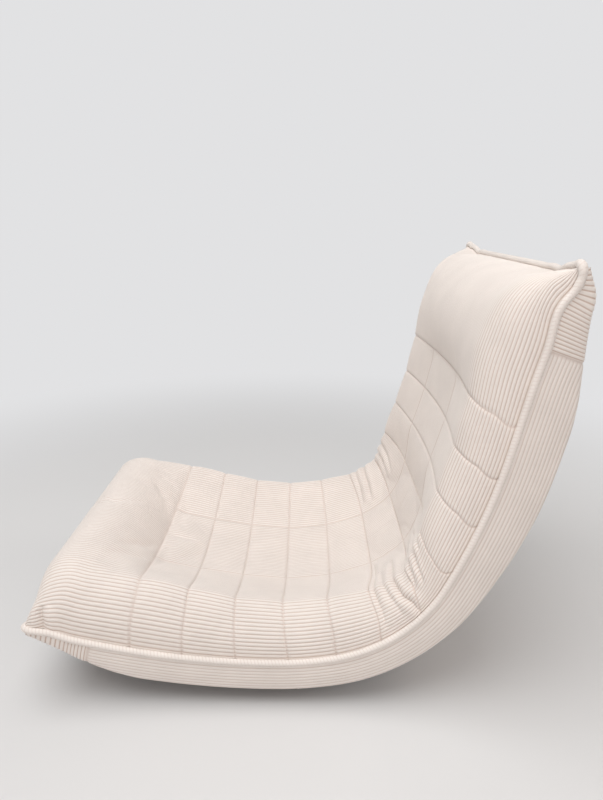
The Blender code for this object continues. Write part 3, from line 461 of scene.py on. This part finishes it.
def settle(start, held):
    """Let stuffed cloth settle from an array of points, and say how far it moved."""
    bm = cloth_grid(start, measures(np.zeros(held.shape), 0.0, 0.0))
    mesh = bpy.data.meshes.new("settling")
    bm.to_mesh(mesh)
    bm.free()
    piece = bpy.data.objects.new("settling", mesh)
    bpy.context.scene.collection.objects.link(piece)
    group = piece.vertex_groups.new(name="held")
    group.add(np.flatnonzero(held.ravel()).tolist(), 1.0, "REPLACE")
    modifier = piece.modifiers.new("cloth", "CLOTH")
    cloth = modifier.settings
    cloth.quality = 6
    cloth.mass = 0.25
    cloth.tension_stiffness = cloth.compression_stiffness = 20.0
    cloth.shear_stiffness = 4.0
    cloth.bending_stiffness = 0.4
    cloth.air_damping = 2.0
    cloth.vertex_group_mass = group.name
    cloth.use_pressure = True
    cloth.uniform_pressure_force = PAD_PRESSURE
    cloth.effector_weights.gravity = 0.0
    modifier.collision_settings.use_collision = False
    modifier.point_cache.frame_start, modifier.point_cache.frame_end = 1, SETTLE_FRAMES
    scene = bpy.context.scene
    for number in range(1, SETTLE_FRAMES + 1):
        scene.frame_set(number)
    settled = piece.evaluated_get(bpy.context.evaluated_depsgraph_get()).data
    places = np.empty(start.size, np.float32)
    settled.vertices.foreach_get("co", places)
    scene.frame_set(1)
    bpy.data.objects.remove(piece)
    bpy.data.meshes.remove(mesh)
    moved = places.reshape(start.shape) - start
    far = np.maximum(np.linalg.norm(moved, axis=-1, keepdims=True), TINY)
    return moved * np.minimum(1.0, SETTLE_CAP / far)


def resample(field, old, new):
    """A field's values at new places along its rows, on smooth curves through the old ones."""
    slope = np.gradient(field, old, axis=0)
    index = np.clip(np.searchsorted(old, new, side="right") - 1, 0, len(old) - 2)
    step = (old[index + 1] - old[index])[:, None, None]
    share = ((new - old[index]) / (old[index + 1] - old[index]))[:, None, None]
    rest = 1 - share
    return (rest ** 2 * (1 + 2 * share) * field[index] + rest ** 2 * share * step * slope[index]
            + share ** 2 * (1 + 2 * rest) * field[index + 1] - share ** 2 * rest * step * slope[index + 1])


def on_seams(length):
    """Which lengths lie on a cross seam."""
    sewn = (length > FRONT_ROLL_LENGTH - WELD) & (length < TOP_ROLL_FROM + WELD)
    return sewn & (channel_share(length)[1] < WELD)


def settled_shift(x, length):
    """How far each of the cover's points moves as its stuffed pads settle between their seams."""
    front = np.linspace(length[0], FRONT_ROLL_LENGTH, SETTLE_FRONT_ROWS)[:-1]
    channels = np.linspace(FRONT_ROLL_LENGTH, TOP_ROLL_FROM, CHANNEL_COUNT * SETTLE_ROWS + 1)
    top = np.linspace(TOP_ROLL_FROM, length[-1], SETTLE_TOP_ROWS)[1:]
    rows = np.concatenate((front, channels, top))
    columns = x[::RIB_STEPS]
    x_grid, rows_grid = np.meshgrid(columns, rows)
    held = on_seams(rows_grid)
    held[[0, -1]] = held[:, [0, -1]] = True
    between = (rows > FRONT_ROLL_LENGTH) & (rows < TOP_ROLL_FROM)
    for seam_x in (-LONG_SEAM_X, LONG_SEAM_X):
        held[:, np.argmin(np.abs(columns - seam_x))] |= between
    moved = resample(settle(quilt_points(x_grid, rows_grid), held), rows, length)
    places = np.arange(x.size, dtype=float)
    return resample(moved.swapaxes(0, 1), places[::RIB_STEPS], places).swapaxes(0, 1)


# Folds of the gathered cloth: points across the cloth from its middle and along it from the crease's
# first seam, and a depth. Those of the front corners are along it from the front edge, and on both sides
CREASE_FOLDS = (
    (((0.100, 0.005), (0.235, 0.010), (0.296, 0.011)), 0.0040),
    (((0.170, 0.022), (0.249, 0.033), (0.288, 0.046)), 0.0025),
    (((0.150, 0.046), (0.204, 0.048), (0.261, 0.054), (0.282, 0.070), (0.306, 0.080)), 0.0060),
    (((0.170, 0.098), (0.225, 0.098), (0.270, 0.083)), 0.0040),
    (((0.130, 0.118), (0.198, 0.122), (0.232, 0.124), (0.275, 0.108)), 0.0050),
    (((0.190, 0.146), (0.240, 0.143)), 0.0030),
    (((-0.290, 0.020), (-0.190, 0.014), (-0.120, 0.009)), 0.0030),
    (((-0.300, 0.050), (-0.190, 0.036), (-0.112, 0.032)), 0.0060),
    (((-0.290, 0.104), (-0.200, 0.104), (-0.145, 0.096)), 0.0045),
    (((-0.290, 0.138), (-0.190, 0.126), (-0.130, 0.112)), 0.0040),
)
CORNER_FOLDS = (
    (((0.276, 0.040), (0.295, 0.034), (0.318, 0.025)), 0.0070),
)
FOLD_WIDTH = 0.0032
FOLD_POWER = 1.3        # below 2, so that a fold's valley is creased
FOLD_RIDGE = 0.45       # of the fold's depth
FOLD_RIDGE_AT = 0.011
FOLD_RIDGE_WIDTH = 0.007


def from_line(across, along, line):
    """Distance from a line of points, and how far along it the nearest place lies, from 0 to 1."""
    nearest = np.full(across.shape, np.inf)
    share = np.zeros(across.shape)
    for number, ((x0, y0), (x1, y1)) in enumerate(zip(line, line[1:])):
        run = np.hypot(x1 - x0, y1 - y0)
        step = np.clip(((across - x0) * (x1 - x0) + (along - y0) * (y1 - y0)) / run ** 2, 0.0, 1.0)
        distance = np.hypot(across - x0 - step * (x1 - x0), along - y0 - step * (y1 - y0))
        share = np.where(distance < nearest, (number + step) / (len(line) - 1), share)
        nearest = np.minimum(nearest, distance)
    return nearest, share


def folded(across, length):
    """Height of the gathered cloth's folds."""
    height = np.zeros(across.shape)
    placed = ((CREASE_FOLDS, across, length - CREASE_FROM), (CORNER_FOLDS, np.abs(across), length))
    for folds, place, along in placed:
        for line, deep in folds:
            distance, share = from_line(place, along, line)
            valley = np.exp(-(distance / FOLD_WIDTH) ** FOLD_POWER)
            ridge = FOLD_RIDGE * dip(distance - FOLD_RIDGE_AT, FOLD_RIDGE_WIDTH)
            height += deep * (ridge - valley) * np.sqrt(np.sin(np.pi * share))
    return height


def make_cover(corduroy):
    wale, x = cover_columns()
    length = cover_rows()
    x_grid, length_grid = np.meshgrid(x, length)
    across = np.broadcast_to((wale / wale[-1] * 2 - 1) * COVER_HALF, x_grid.shape)
    points = quilt_points(x_grid, length_grid)
    points = points + settled_shift(x, length)
    points = points + normals(points) * folded(across, length_grid)[..., None]
    sewn = ease(FRONT_ROLL_LENGTH - SEAM_FADE, FRONT_ROLL_LENGTH, length_grid)
    sewn = sewn * (1 - ease(TOP_ROLL_FROM, TOP_ROLL_FROM + SEAM_FADE, length_grid))
    seam = np.maximum(dip(channel_share(length_grid)[1], SEAM_GROOVE),
                      dip(np.abs(x_grid) - LONG_SEAM_X, SEAM_GROOVE)) * sewn
    height = RIB_HEIGHT * rib(wale)[None, :] * (1 - SEAM_PRESS * seam)
    points = points + normals(points) * (height - SEAM_DEPTH * seam)[..., None]
    cloth = measures(np.broadcast_to(wale, x_grid.shape), QUILT_RIB_SHADE, seam)
    edge = QUILT_HALF - QUILT_BASE / 2
    base = at(np.linspace(edge, -edge, BASE_COLUMNS)[None, :], length[:, None], -QUILT_BASE)
    bm = cloth_grid(*with_back(points, cloth, base))
    close(bm)
    cover = add_piece("quilted_cover", bm, corduroy, "corduroy", "seat_quilt", "crease_quilt", "back_quilt")
    across_crease(cover)


# Side bands

BAND_TOP = 0.0035       # below the piping's middle
BAND_OUT = 0.0055       # outside the quilt's edge
BAND_REACH = 0.100      # cloth from the piping down and round the lower edge
BAND_BELLY = 0.003
BELLY_DEPTHS = (0.010, 0.050)   # of the chair, where the belly sets in and is full
BAND_ROUND = 0.006
BAND_ROUND_SHARE = 0.45         # of the chair's depth, at most
BAND_TUCK = 0.004       # how far the lower end is drawn in under the chair
BAND_TUCK_LENGTH = 0.010
BAND_FRONT = 0.010      # where it ends inside the piping's corners
BAND_END = 0.008
BAND_ROWS = 190
FRONT_CAP = 0.092       # corner pieces whose ribs run across
TOP_CAP = 0.119
CAP_EDGE = 0.001
CAP_SEAM = 0.002
CAP_SEAM_DEPTH = 0.001

# The band's inner side, which nothing shows
BAND_HEM = 0.003
BAND_INNER = 0.006
BAND_INNER_SHARE = 0.9  # of the chair's depth
BAND_INNER_RISE = 0.006


def band_rows():
    """Seam lengths of a band's rows, a few to each rib of its caps."""
    cap_step = WALE / RIB_STEPS
    front = np.arange(BAND_FRONT, FRONT_CAP, cap_step)
    middle = np.linspace(FRONT_CAP, SEAM_END - TOP_CAP, BAND_ROWS)[:-1]
    top = np.arange(SEAM_END - TOP_CAP, SEAM_END - BAND_END, cap_step)
    return np.concatenate((front, middle, top))


def in_cap(length):
    """1 in the corner pieces at a band's ends, and 0 between them."""
    front = 1 - ease(FRONT_CAP - CAP_EDGE, FRONT_CAP, length)
    top = ease(SEAM_END - TOP_CAP, SEAM_END - TOP_CAP + CAP_EDGE, length)
    return np.maximum(front, top)


def band_section(length, reach):
    """Places across and out of the seam, over the cloth's reach from the piping round the lower edge."""
    low = depth(length)
    bend = np.minimum(BAND_ROUND, BAND_ROUND_SHARE * low)
    straight = np.maximum(low - BAND_TOP - bend, 0.0)
    turn = np.clip((reach - straight) / bend, 0.0, math.pi / 2)
    under = np.maximum(reach - straight - bend * math.pi / 2, 0.0)
    bulge = np.sin(np.pi * np.clip(reach / (straight + bend), 0.0, 1.0))
    belly = BAND_BELLY * bulge * ease(*BELLY_DEPTHS, low)
    x = QUILT_HALF + BAND_OUT + belly - bend * (1 - np.cos(turn)) - under
    tucked = BAND_TUCK * (1 - in_cap(length)) * ease(0.0, BAND_TUCK_LENGTH, under)
    out = -BAND_TOP - np.minimum(reach, straight) - bend * np.sin(turn) + tucked
    return x, out


def make_band(side, sign, corduroy):
    length = band_rows()[:, None]
    reach = np.linspace(0.0, BAND_REACH, round(BAND_REACH / WALE * RIB_STEPS) + 1)[None, :]
    x, out = band_section(length, reach)
    cap = in_cap(length)
    wale = np.where(cap > 0.5, length / WALE, reach / WALE)
    # How strongly the ribs show: their height, and the shade painted into their grooves
    rib_shade = mix(BAND_RIB_SHADE, CAP_RIB_SHADE, cap)
    cap_seam = np.maximum(dip(length - FRONT_CAP, CAP_SEAM), dip(SEAM_END - TOP_CAP - length, CAP_SEAM))
    seam = np.broadcast_to(cap_seam, wale.shape)
    points = at(sign * x, length, out)
    height = RIB_HEIGHT * rib_shade * rib(wale) * (1 - SEAM_PRESS * seam) - CAP_SEAM_DEPTH * seam
    points = points + normals(points) * (sign * height)[..., None]
    low = depth(length)
    inner_x = np.broadcast_to((QUILT_HALF - BAND_INNER,), length.shape)
    back_x = np.concatenate((x[:, -1:], inner_x, inner_x), axis=1)
    back_out = (out[:, -1:] + BAND_HEM, BAND_INNER_RISE - BAND_INNER_SHARE * low, -BAND_TOP + 0 * low)
    back = at(sign * back_x, length, np.concatenate(back_out, axis=1))
    bm = cloth_grid(*with_back(points, measures(wale, rib_shade, seam), back))
    close(bm)
    band = add_piece(f"side_band_{side}", bm, corduroy, "corduroy",
                     f"seat_band_{side}", f"hinge_gusset_{side}", f"back_band_{side}")
    across_crease(band)


# Piping

PIPING_CORNER = 0.016   # how round it turns a corner
PIPING_SIDES = 16
PIPING_CORNER_STEPS = 20
PIPING_ACROSS_STEPS = 170
PIPING_ALONG_STEPS = 760
PIPING_TWIST = 2        # ribs that its slanting cloth moves on by, once round
PIPING_RELIEF = 0.025   # of its radius, that the ribs stand out
EAR_SWELL = 0.35        # more of its radius where the ends are tucked together at the top ears
EAR_KNOB = 0.014
SECOND_KNOB = 0.5       # of the first one


def piping_path():
    """Places across and along the seam, once round the edge from the middle of the front."""
    half, corner = SEAT_WIDTH / 2, PIPING_CORNER
    turn = np.linspace(0.0, math.pi / 2, PIPING_CORNER_STEPS)
    across = np.linspace(0.0, half - corner, PIPING_ACROSS_STEPS)[:-1]
    along = np.linspace(corner, SEAM_END - corner, PIPING_ALONG_STEPS)[1:-1]
    right_x = np.concatenate((across, half - corner + corner * np.sin(turn), np.full(along.shape, half),
                              half - corner + corner * np.cos(turn), across[::-1]))
    right_length = np.concatenate((0 * across, corner - corner * np.cos(turn), along,
                                   SEAM_END - corner + corner * np.sin(turn), SEAM_END + 0 * across))
    x = np.concatenate((right_x, -right_x[-2::-1]))
    return x, np.concatenate((right_length, right_length[-2::-1]))


def make_piping(corduroy):
    x, length = piping_path()
    centre = at(x, length, 0.0)
    forward = np.gradient(centre, axis=0)
    forward[[0, -1]] = (1.0, 0.0, 0.0)
    forward /= np.linalg.norm(forward, axis=1, keepdims=True)
    out = at(x, length, 2 * PIPING_RADIUS) - centre
    aside = np.cross(forward, out)
    aside /= np.linalg.norm(aside, axis=1, keepdims=True)
    out = np.cross(aside, forward)
    run = np.concatenate(((0.0,), np.cumsum(np.linalg.norm(np.diff(centre, axis=0), axis=1))))
    run *= round(run[-1] / WALE) * WALE / run[-1]
    angle = np.linspace(0.0, 2 * math.pi, PIPING_SIDES + 1)[None, :]
    wale = (run[:, None] + PIPING_TWIST * WALE * angle / (2 * math.pi)) / WALE
    from_ear = np.hypot(SEAT_WIDTH / 2 - np.abs(x), SEAM_END - length)
    second = SECOND_KNOB * dip(from_ear - 2 * EAR_KNOB, EAR_KNOB / 2)
    swell = EAR_SWELL * np.maximum(dip(from_ear, EAR_KNOB), second)
    radius = PIPING_RADIUS * (1 + PIPING_RELIEF * rib(wale) + swell[:, None])[..., None]
    ring = np.cos(angle)[..., None] * aside[:, None] + np.sin(angle)[..., None] * out[:, None]
    points = centre[:, None] + radius * ring
    bm = cloth_grid(points, measures(wale, PIPING_RIB_SHADE, 0.0))
    close(bm)
    piping = add_piece("piping", bm, corduroy, "corduroy", "seat_piping", "back_piping")
    across_crease(piping)


# Rear panel and dust cloth

PANEL_OVERLAP = 0.004   # over the side bands
PANEL_HALF = QUILT_HALF + PANEL_OVERLAP
PANEL_LIFT = 0.001      # from the chair's full depth
PANEL_CURL = 0.003      # its border turns up to the band
PANEL_CURL_WIDTH = 0.008
PANEL_THICKNESS = 0.0012
PANEL_ROWS = 110
DUST_ROWS = 112
DUST_COLUMNS = 113
WINDOW_HALF = (0.2255, 0.086)   # of the swivel's window, across and along
PANEL_FRONT = 0.006     # where the panels end behind the piping
PANEL_END = 0.004
CORNER_TUCK = 0.010     # more behind the ears


def tucked_corner(x):
    """How much sooner a panel ends near its corners."""
    return CORNER_TUCK * (1 - ease(0.0, EAR_WIDTH, SEAT_WIDTH / 2 - np.abs(x)))


def panel_out(x, length):
    """A panel lies against the underside or the rear, with its border turned up."""
    curl = PANEL_CURL * ease(PANEL_HALF - PANEL_CURL_WIDTH, PANEL_HALF, np.abs(x))
    return PANEL_LIFT - depth(length) + curl


def add_panel(name, bm, flat_length, material, slot, *nodes):
    bmesh.ops.reverse_faces(bm, faces=bm.faces)
    panel = add_piece(name, bm, material, slot, *nodes)
    solidify = panel.modifiers.new("thickness", "SOLIDIFY")
    solidify.thickness = PANEL_THICKNESS
    return panel


def make_rear_panel(corduroy):
    wales = round(2 * PANEL_HALF / WALE)
    wale = np.linspace(0.0, wales, wales * RIB_STEPS + 1)[None, :]
    x = (wale / wales * 2 - 1) * PANEL_HALF
    end = SEAM_END - PANEL_END - tucked_corner(x)
    length = mix(CREASE_FROM, end, np.linspace(0.0, 1.0, PANEL_ROWS)[:, None])
    points = at(x, length, panel_out(x, length))
    points = points - normals(points) * (RIB_HEIGHT * rib(wale))[..., None]
    bm = cloth_grid(points, measures(wale + 0 * length, QUILT_RIB_SHADE, 0.0))
    panel = add_panel("rear_panel", bm, SEAM_END - CREASE_FROM, corduroy, "corduroy",
                      "rear_cover", "rear_gusset")
    across_crease(panel)


def make_dust_cloth(lining):
    x = np.linspace(-PANEL_HALF, PANEL_HALF, DUST_COLUMNS)[None, :]
    start = PANEL_FRONT + tucked_corner(x)
    length = mix(start, CREASE_FROM, np.linspace(0.0, 1.0, DUST_ROWS)[:, None])
    bm = cloth_grid(at(x, length, panel_out(x, length)), measures(x + 0 * length, 0.0, 0.0))
    window = [face for face in bm.faces if abs(face.calc_center_median().x) < WINDOW_HALF[0]
              and abs(face.calc_center_median().y) < WINDOW_HALF[1]]
    bmesh.ops.delete(bm, geom=window, context="FACES")
    cloth = add_panel("dust_cloth", bm, CREASE_FROM, lining, "lining", "underside_cloth")
    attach(cloth, "seat")


# Foam and straps

GAP = 0.0003
RAIL_INSET = 0.015
TUBE_RADIUS = 0.0095
STRAP_INSET = RAIL_INSET + TUBE_RADIUS + GAP
STRAP_THICKNESS = 0.002
STRAP_WIDTH = 0.050
STRAP_ROUND = 0.001
FOAM_INSET = STRAP_INSET + STRAP_THICKNESS + GAP
FOAM_SIDE_GAP = 0.005
FOAM_ROUND = 0.014
BLOCK_ROWS = 50         # across the chair
BLOCK_COLUMNS = 60      # along each face


def node_places(node):
    """Places of the corners of one of the frame's nodes."""
    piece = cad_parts[node]
    return [piece.matrix_world @ vert.co for vert in piece.data.vertices]


def nearest_length(place):
    """Length along the seam that a place lies beside."""
    return SEAM[0][np.argmin((SEAM[1] - place.y) ** 2 + (SEAM[2] - place.z) ** 2)]


def make_block(node, body, low, high, x_half, lower, upper, rounding, material, slot):
    """A slab with round edges across the chair, between two depths over a run of the seam."""
    turn = np.linspace(0.0, math.pi, BLOCK_COLUMNS)
    run = (low + high) / 2 - (high - low) / 2 * np.cos(turn)
    length = np.concatenate((run, run[-2::-1]))[None, :]
    x = x_half * np.sin(np.linspace(-math.pi / 2, math.pi / 2, BLOCK_ROWS))[:, None]
    end = round_edge(np.minimum(length - low, high - length), rounding)
    edge = end * round_edge(x_half - np.abs(x), rounding)
    upper_side = np.where(np.arange(length.size) < run.size, 1.0, -1.0)[None, :]
    middle, half = (upper(length) + lower(length)) / 2, (upper(length) - lower(length)) / 2
    bm = cloth_grid(at(x, length, middle + half * edge * upper_side), measures(x + 0 * length, 0.0, 0.0))
    close(bm)
    piece = add_piece(f"{node}_soft", bm, material, slot, node)
    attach(piece, body)
    return piece


def make_foam(foam):
    for node, body in (("seat_foam", "seat"), ("back_foam", "back")):
        runs = [nearest_length(place) for place in node_places(node)]
        block = make_block(node, body, min(runs), max(runs), QUILT_HALF - FOAM_SIDE_GAP,
                           lambda length: FOAM_INSET - depth(length),
                           lambda length: -QUILT_BASE - GAP + 0 * length,
                           FOAM_ROUND, foam, "foam")


def make_straps(webbing):
    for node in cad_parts:
        if "_strap_" not in node:
            continue
        places = node_places(node)
        middle = nearest_length(sum(places, Vector()) / len(places))
        x_half = max(place.x for place in places)
        body = node.split("_")[0]
        strap = make_block(node, body, middle - STRAP_WIDTH / 2, middle + STRAP_WIDTH / 2, x_half,
                           lambda length: STRAP_INSET - depth(length),
                           lambda length: STRAP_INSET + STRAP_THICKNESS - depth(length),
                           STRAP_ROUND, webbing, "webbing")


# Finishes

def add_node(tree, kind, inputs, **settings):
    """A shader node whose inputs are given as values or as other nodes' outputs."""
    node = tree.nodes.new("ShaderNode" + kind)
    for name, value in settings.items():
        setattr(node, name, value)
    for name, value in inputs.items():
        if isinstance(value, bpy.types.NodeSocket):
            tree.links.new(value, node.inputs[name])
        else:
            node.inputs[name].default_value = value
    return node


def make_group(name, sockets, output):
    """A node group with number or colour inputs and one output."""
    group = bpy.data.node_groups.new(name, "ShaderNodeTree")
    for socket, kind in sockets.items():
        group.interface.new_socket(socket, in_out="INPUT", socket_type=kind)
    group.interface.new_socket(output[0], in_out="OUTPUT", socket_type=output[1])
    return group, group.nodes.new("NodeGroupInput").outputs, group.nodes.new("NodeGroupOutput").inputs


NOISE_RANGE = (0.3, 0.7)    # in which most of a noise's values lie


def make_mottle():
    """Shades of a colour that wander over a piece."""
    group, given, result = make_group(
        "mottle", {"Colour": "NodeSocketColor", "Scale": "NodeSocketFloat", "Amount": "NodeSocketFloat"},
        ("Colour", "NodeSocketColor"))
    place = add_node(group, "TexCoord", {}).outputs["Object"]
    noise = add_node(group, "TexNoise", {"Vector": place, "Scale": given["Scale"], "Detail": 4.0})
    low = add_node(group, "Math", {0: 1.0, 1: given["Amount"]}, operation="SUBTRACT")
    high = add_node(group, "Math", {0: 1.0, 1: given["Amount"]}, operation="ADD")
    value = add_node(group, "MapRange", {
        "Value": noise.outputs["Fac"], "From Min": NOISE_RANGE[0], "From Max": NOISE_RANGE[1],
        "To Min": low.outputs[0], "To Max": high.outputs[0]})
    shade = add_node(group, "HueSaturation", {"Color": given["Colour"], "Value": value.outputs[0]})
    group.links.new(shade.outputs[0], result["Colour"])
    return group


def make_grain():
    """A fine uneven surface."""
    group, given, result = make_group("grain", {"Scale": "NodeSocketFloat", "Height": "NodeSocketFloat"},
                                      ("Normal", "NodeSocketVector"))
    place = add_node(group, "TexCoord", {}).outputs["Object"]
    noise = add_node(group, "TexNoise", {"Vector": place, "Scale": given["Scale"], "Detail": 3.0})
    bump = add_node(group, "Bump", {
        "Height": noise.outputs["Fac"], "Distance": given["Height"], "Strength": 1.0})
    group.links.new(bump.outputs[0], result["Normal"])
    return group


def finish(name, colour, mottling, grain, **shader_values):
    """A material with a mottled colour and a grain. mottling and grain are (scale, amount or height)."""
    material = bpy.data.materials.new(name)
    material.use_nodes = True
    tree = material.node_tree
    shader = tree.nodes["Principled BSDF"]
    for socket, value in shader_values.items():
        shader.inputs[socket.replace("_", " ").title().replace("Ior", "IOR")].default_value = value
    mottle = add_node(tree, "Group", {}, node_tree=MOTTLE)
    mottle.inputs["Scale"].default_value, mottle.inputs["Amount"].default_value = mottling
    if isinstance(colour, tuple):
        mottle.inputs["Colour"].default_value = (*colour, 1.0)
    else:
        tree.links.new(colour(tree), mottle.inputs["Colour"])
    tree.links.new(mottle.outputs[0], shader.inputs["Base Color"])
    bump = add_node(tree, "Group", {"Scale": grain[0], "Height": grain[1]}, node_tree=GRAIN)
    tree.links.new(bump.outputs[0], shader.inputs["Normal"])
    return material


RIDGE_COLOUR = (0.83, 0.775, 0.73, 1.0)
# Painted shade: a darker, warmer colour mixed into the grooves and seams, standing in for the shade that
# falls there
GROOVE_SHADE_COLOUR = (0.50, 0.35, 0.28, 1.0)
GROOVE_SHADE = 0.68
GROOVE_TOP = 0.65       # of a rib's rise, up to which the groove shades it
SEAM_SHADE = 0.30


def rib_colour(tree):
    """Pile colour on the ribs, with shade painted into the grooves and along the seams between them."""
    cloth = add_node(tree, "Attribute", {}, attribute_name="cloth")
    measure = add_node(tree, "SeparateXYZ", {0: cloth.outputs["Vector"]}).outputs
    turn = add_node(tree, "Math", {0: measure["X"], 1: math.pi}, operation="MULTIPLY")
    wave = add_node(tree, "Math", {0: turn.outputs[0]}, operation="SINE")
    ridge = add_node(tree, "Math", {0: wave.outputs[0]}, operation="ABSOLUTE")
    groove = add_node(tree, "MapRange", {
        "Value": ridge.outputs[0], "From Max": GROOVE_TOP, "To Min": GROOVE_SHADE, "To Max": 0.0})
    shown = add_node(tree, "Math", {0: groove.outputs[0], 1: measure["Y"]}, operation="MULTIPLY")
    sewn = add_node(tree, "Math", {0: measure["Z"], 1: SEAM_SHADE}, operation="MULTIPLY")
    dark = add_node(tree, "Math", {0: shown.outputs[0], 1: sewn.outputs[0]}, operation="MAXIMUM")
    mixed = add_node(tree, "Mix", {"Factor": dark.outputs[0], 6: RIDGE_COLOUR, 7: GROOVE_SHADE_COLOUR},
                     data_type="RGBA")
    return mixed.outputs[2]


WEB_COLOURS = ((0.12, 0.12, 0.13, 1.0), (0.07, 0.07, 0.08, 1.0))
WEB_THREADS = 500.0     # to a metre


def web_colour(tree):
    """A woven strap's light and dark threads, along it and across."""
    place = add_node(tree, "TexCoord", {}).outputs["Object"]
    weave = add_node(tree, "TexChecker", {
        "Vector": place, "Color1": WEB_COLOURS[0], "Color2": WEB_COLOURS[1], "Scale": WEB_THREADS})
    return weave.outputs["Color"]


MOTTLE = make_mottle()
GRAIN = make_grain()


def make_finishes():
    cloth = {"roughness": 0.95, "specular_ior_level": 0.2}
    return {
        "corduroy": finish("ivory_corduroy", rib_colour, (18.0, 0.03), (1400.0, 0.0003), sheen_weight=0.35,
                           sheen_roughness=0.45, sheen_tint=(1.0, 0.96, 0.92, 1.0), **cloth),
        "lining": finish("dust_lining", (0.05, 0.05, 0.052), (300.0, 0.25), (600.0, 0.0004), **cloth),
        "foam": finish("cream_foam", (0.85, 0.80, 0.62), (30.0, 0.05), (700.0, 0.0010), **cloth),
        "webbing": finish("elastic_webbing", web_colour, (40.0, 0.10), (900.0, 0.0003), **cloth),
        "black_steel": finish("powder_coat", (0.022, 0.022, 0.024), (25.0, 0.10), (1200.0, 0.0001),
                              roughness=0.45, metallic=0.3, coat_weight=0.1),
        "zinc": finish("zinc_plate", (0.62, 0.62, 0.60), (60.0, 0.08), (400.0, 0.00005),
                       roughness=0.35, metallic=1.0),
        "rubber": finish("foot_rubber", (0.03, 0.03, 0.03), (80.0, 0.15), (900.0, 0.0002), roughness=0.85),
    }


# Camera, light and floor

CAMERA_PLACE = (1.0487, 0.0307, 0.7589)
CAMERA_YAW = math.radians(-0.566)
CAMERA_PITCH = math.radians(17.35)
CAMERA_LENS = 35.22
SENSOR_WIDTH = 36.0


def make_camera():
    data = bpy.data.cameras.new("camera")
    data.sensor_fit = "HORIZONTAL"
    data.sensor_width = SENSOR_WIDTH
    data.lens = CAMERA_LENS
    camera = bpy.data.objects.new("camera", data)
    bpy.context.scene.collection.objects.link(camera)
    camera.location = CAMERA_PLACE
    look = Vector((-math.cos(CAMERA_YAW) * math.cos(CAMERA_PITCH),
                   math.sin(CAMERA_YAW) * math.cos(CAMERA_PITCH), -math.sin(CAMERA_PITCH)))
    camera.rotation_euler = look.to_track_quat("-Z", "Y").to_euler()
    bpy.context.scene.camera = camera


def add_lamp(name, place, target, size, power, colour):
    data = bpy.data.lights.new(name, "AREA")
    data.shape = "DISK"
    data.size = size
    data.energy = power
    data.color = colour
    lamp = bpy.data.objects.new(name, data)
    bpy.context.scene.collection.objects.link(lamp)
    lamp.location = place
    lamp.rotation_euler = (Vector(target) - Vector(place)).to_track_quat("-Z", "Y").to_euler()


BACKDROP_COLOUR = (0.76, 0.76, 0.77, 1.0)
WORLD_COLOUR = (0.91, 0.90, 0.89, 1.0)
WORLD_STRENGTH = 0.31
FLOOR_HALF = 6.0
FLOOR_FADE = (0.7, 1.9)     # from the middle of the floor


def seen_ray(tree):
    """1 for what the camera sees, straight or mirrored, and 0 for light on the chair."""
    rays = add_node(tree, "LightPath", {}).outputs
    shown = rays["Is Camera Ray"]
    for kind in ("Is Glossy Ray", "Is Transmission Ray"):
        shown = add_node(tree, "Math", {0: shown, 1: rays[kind]}, operation="MAXIMUM").outputs[0]
    return shown


def make_world():
    world = bpy.data.worlds.new("studio")
    world.use_nodes = True
    tree = world.node_tree
    light = tree.nodes["Background"]
    light.inputs["Color"].default_value = WORLD_COLOUR
    light.inputs["Strength"].default_value = WORLD_STRENGTH
    backdrop = add_node(tree, "Background", {"Color": BACKDROP_COLOUR})
    mixed = add_node(tree, "MixShader", {0: seen_ray(tree), 1: light.outputs[0], 2: backdrop.outputs[0]})
    tree.links.new(mixed.outputs[0], tree.nodes["World Output"].inputs["Surface"])
    bpy.context.scene.world = world


def make_floor():
    """A pale floor that fades into the backdrop far from the chair."""
    material = finish("pale_floor", (0.70, 0.70, 0.70), (1.5, 0.01), (200.0, 0.0001), roughness=0.8)
    tree = material.node_tree
    place = add_node(tree, "TexCoord", {}).outputs["Object"]
    reach = add_node(tree, "VectorMath", {0: place}, operation="LENGTH").outputs["Value"]
    far = add_node(tree, "MapRange", {"Value": reach, "From Min": FLOOR_FADE[0], "From Max": FLOOR_FADE[1]},
                   interpolation_type="SMOOTHSTEP").outputs[0]
    share = add_node(tree, "Math", {0: far, 1: seen_ray(tree)}, operation="MULTIPLY").outputs[0]
    backdrop = add_node(tree, "Emission", {"Color": BACKDROP_COLOUR}).outputs[0]
    surface = tree.nodes["Principled BSDF"].outputs[0]
    mixed = add_node(tree, "MixShader", {0: share, 1: surface, 2: backdrop})
    tree.links.new(mixed.outputs[0], tree.nodes["Material Output"].inputs["Surface"])
    bm = bmesh.new()
    bmesh.ops.create_grid(bm, x_segments=1, y_segments=1, size=FLOOR_HALF)
    mesh = bpy.data.meshes.new("floor")
    bm.to_mesh(mesh)
    bm.free()
    mesh.materials.append(material)
    floor = bpy.data.objects.new("floor", mesh)
    bpy.context.scene.collection.objects.link(floor)


# Name, place, target, size in metres, power in watts and colour
LAMPS = (
    ("key_lamp", (0.6, -0.6, 3.0), (0.0, 0.0, 0.2), 3.0, 74.0, (1.0, 0.99, 0.985)),
    ("fill_lamp", (2.2, 0.2, 1.3), (0.0, 0.0, 0.25), 2.0, 13.0, (1.0, 0.87, 0.81)),
    ("rear_lamp", (-0.9, 2.6, 1.2), (0.0, 0.2, 0.35), 2.0, 16.0, (1.0, 0.97, 0.94)),
)


def make_studio():
    for lamp in LAMPS:
        add_lamp(*lamp)
    make_world()
    make_floor()


make_camera()
make_studio()
bpy.context.scene.view_settings.view_transform = "Standard"
finishes = make_finishes()
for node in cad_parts.values():
    for material_slot in node.material_slots:
        material_slot.material = finishes[material_slot.material.name]
make_cover(finishes["corduroy"])
for side, sign in (("left", 1.0), ("right", -1.0)):
    make_band(side, sign, finishes["corduroy"])
make_piping(finishes["corduroy"])
make_rear_panel(finishes["corduroy"])
make_dust_cloth(finishes["lining"])
make_foam(finishes["foam"])
make_straps(finishes["webbing"])
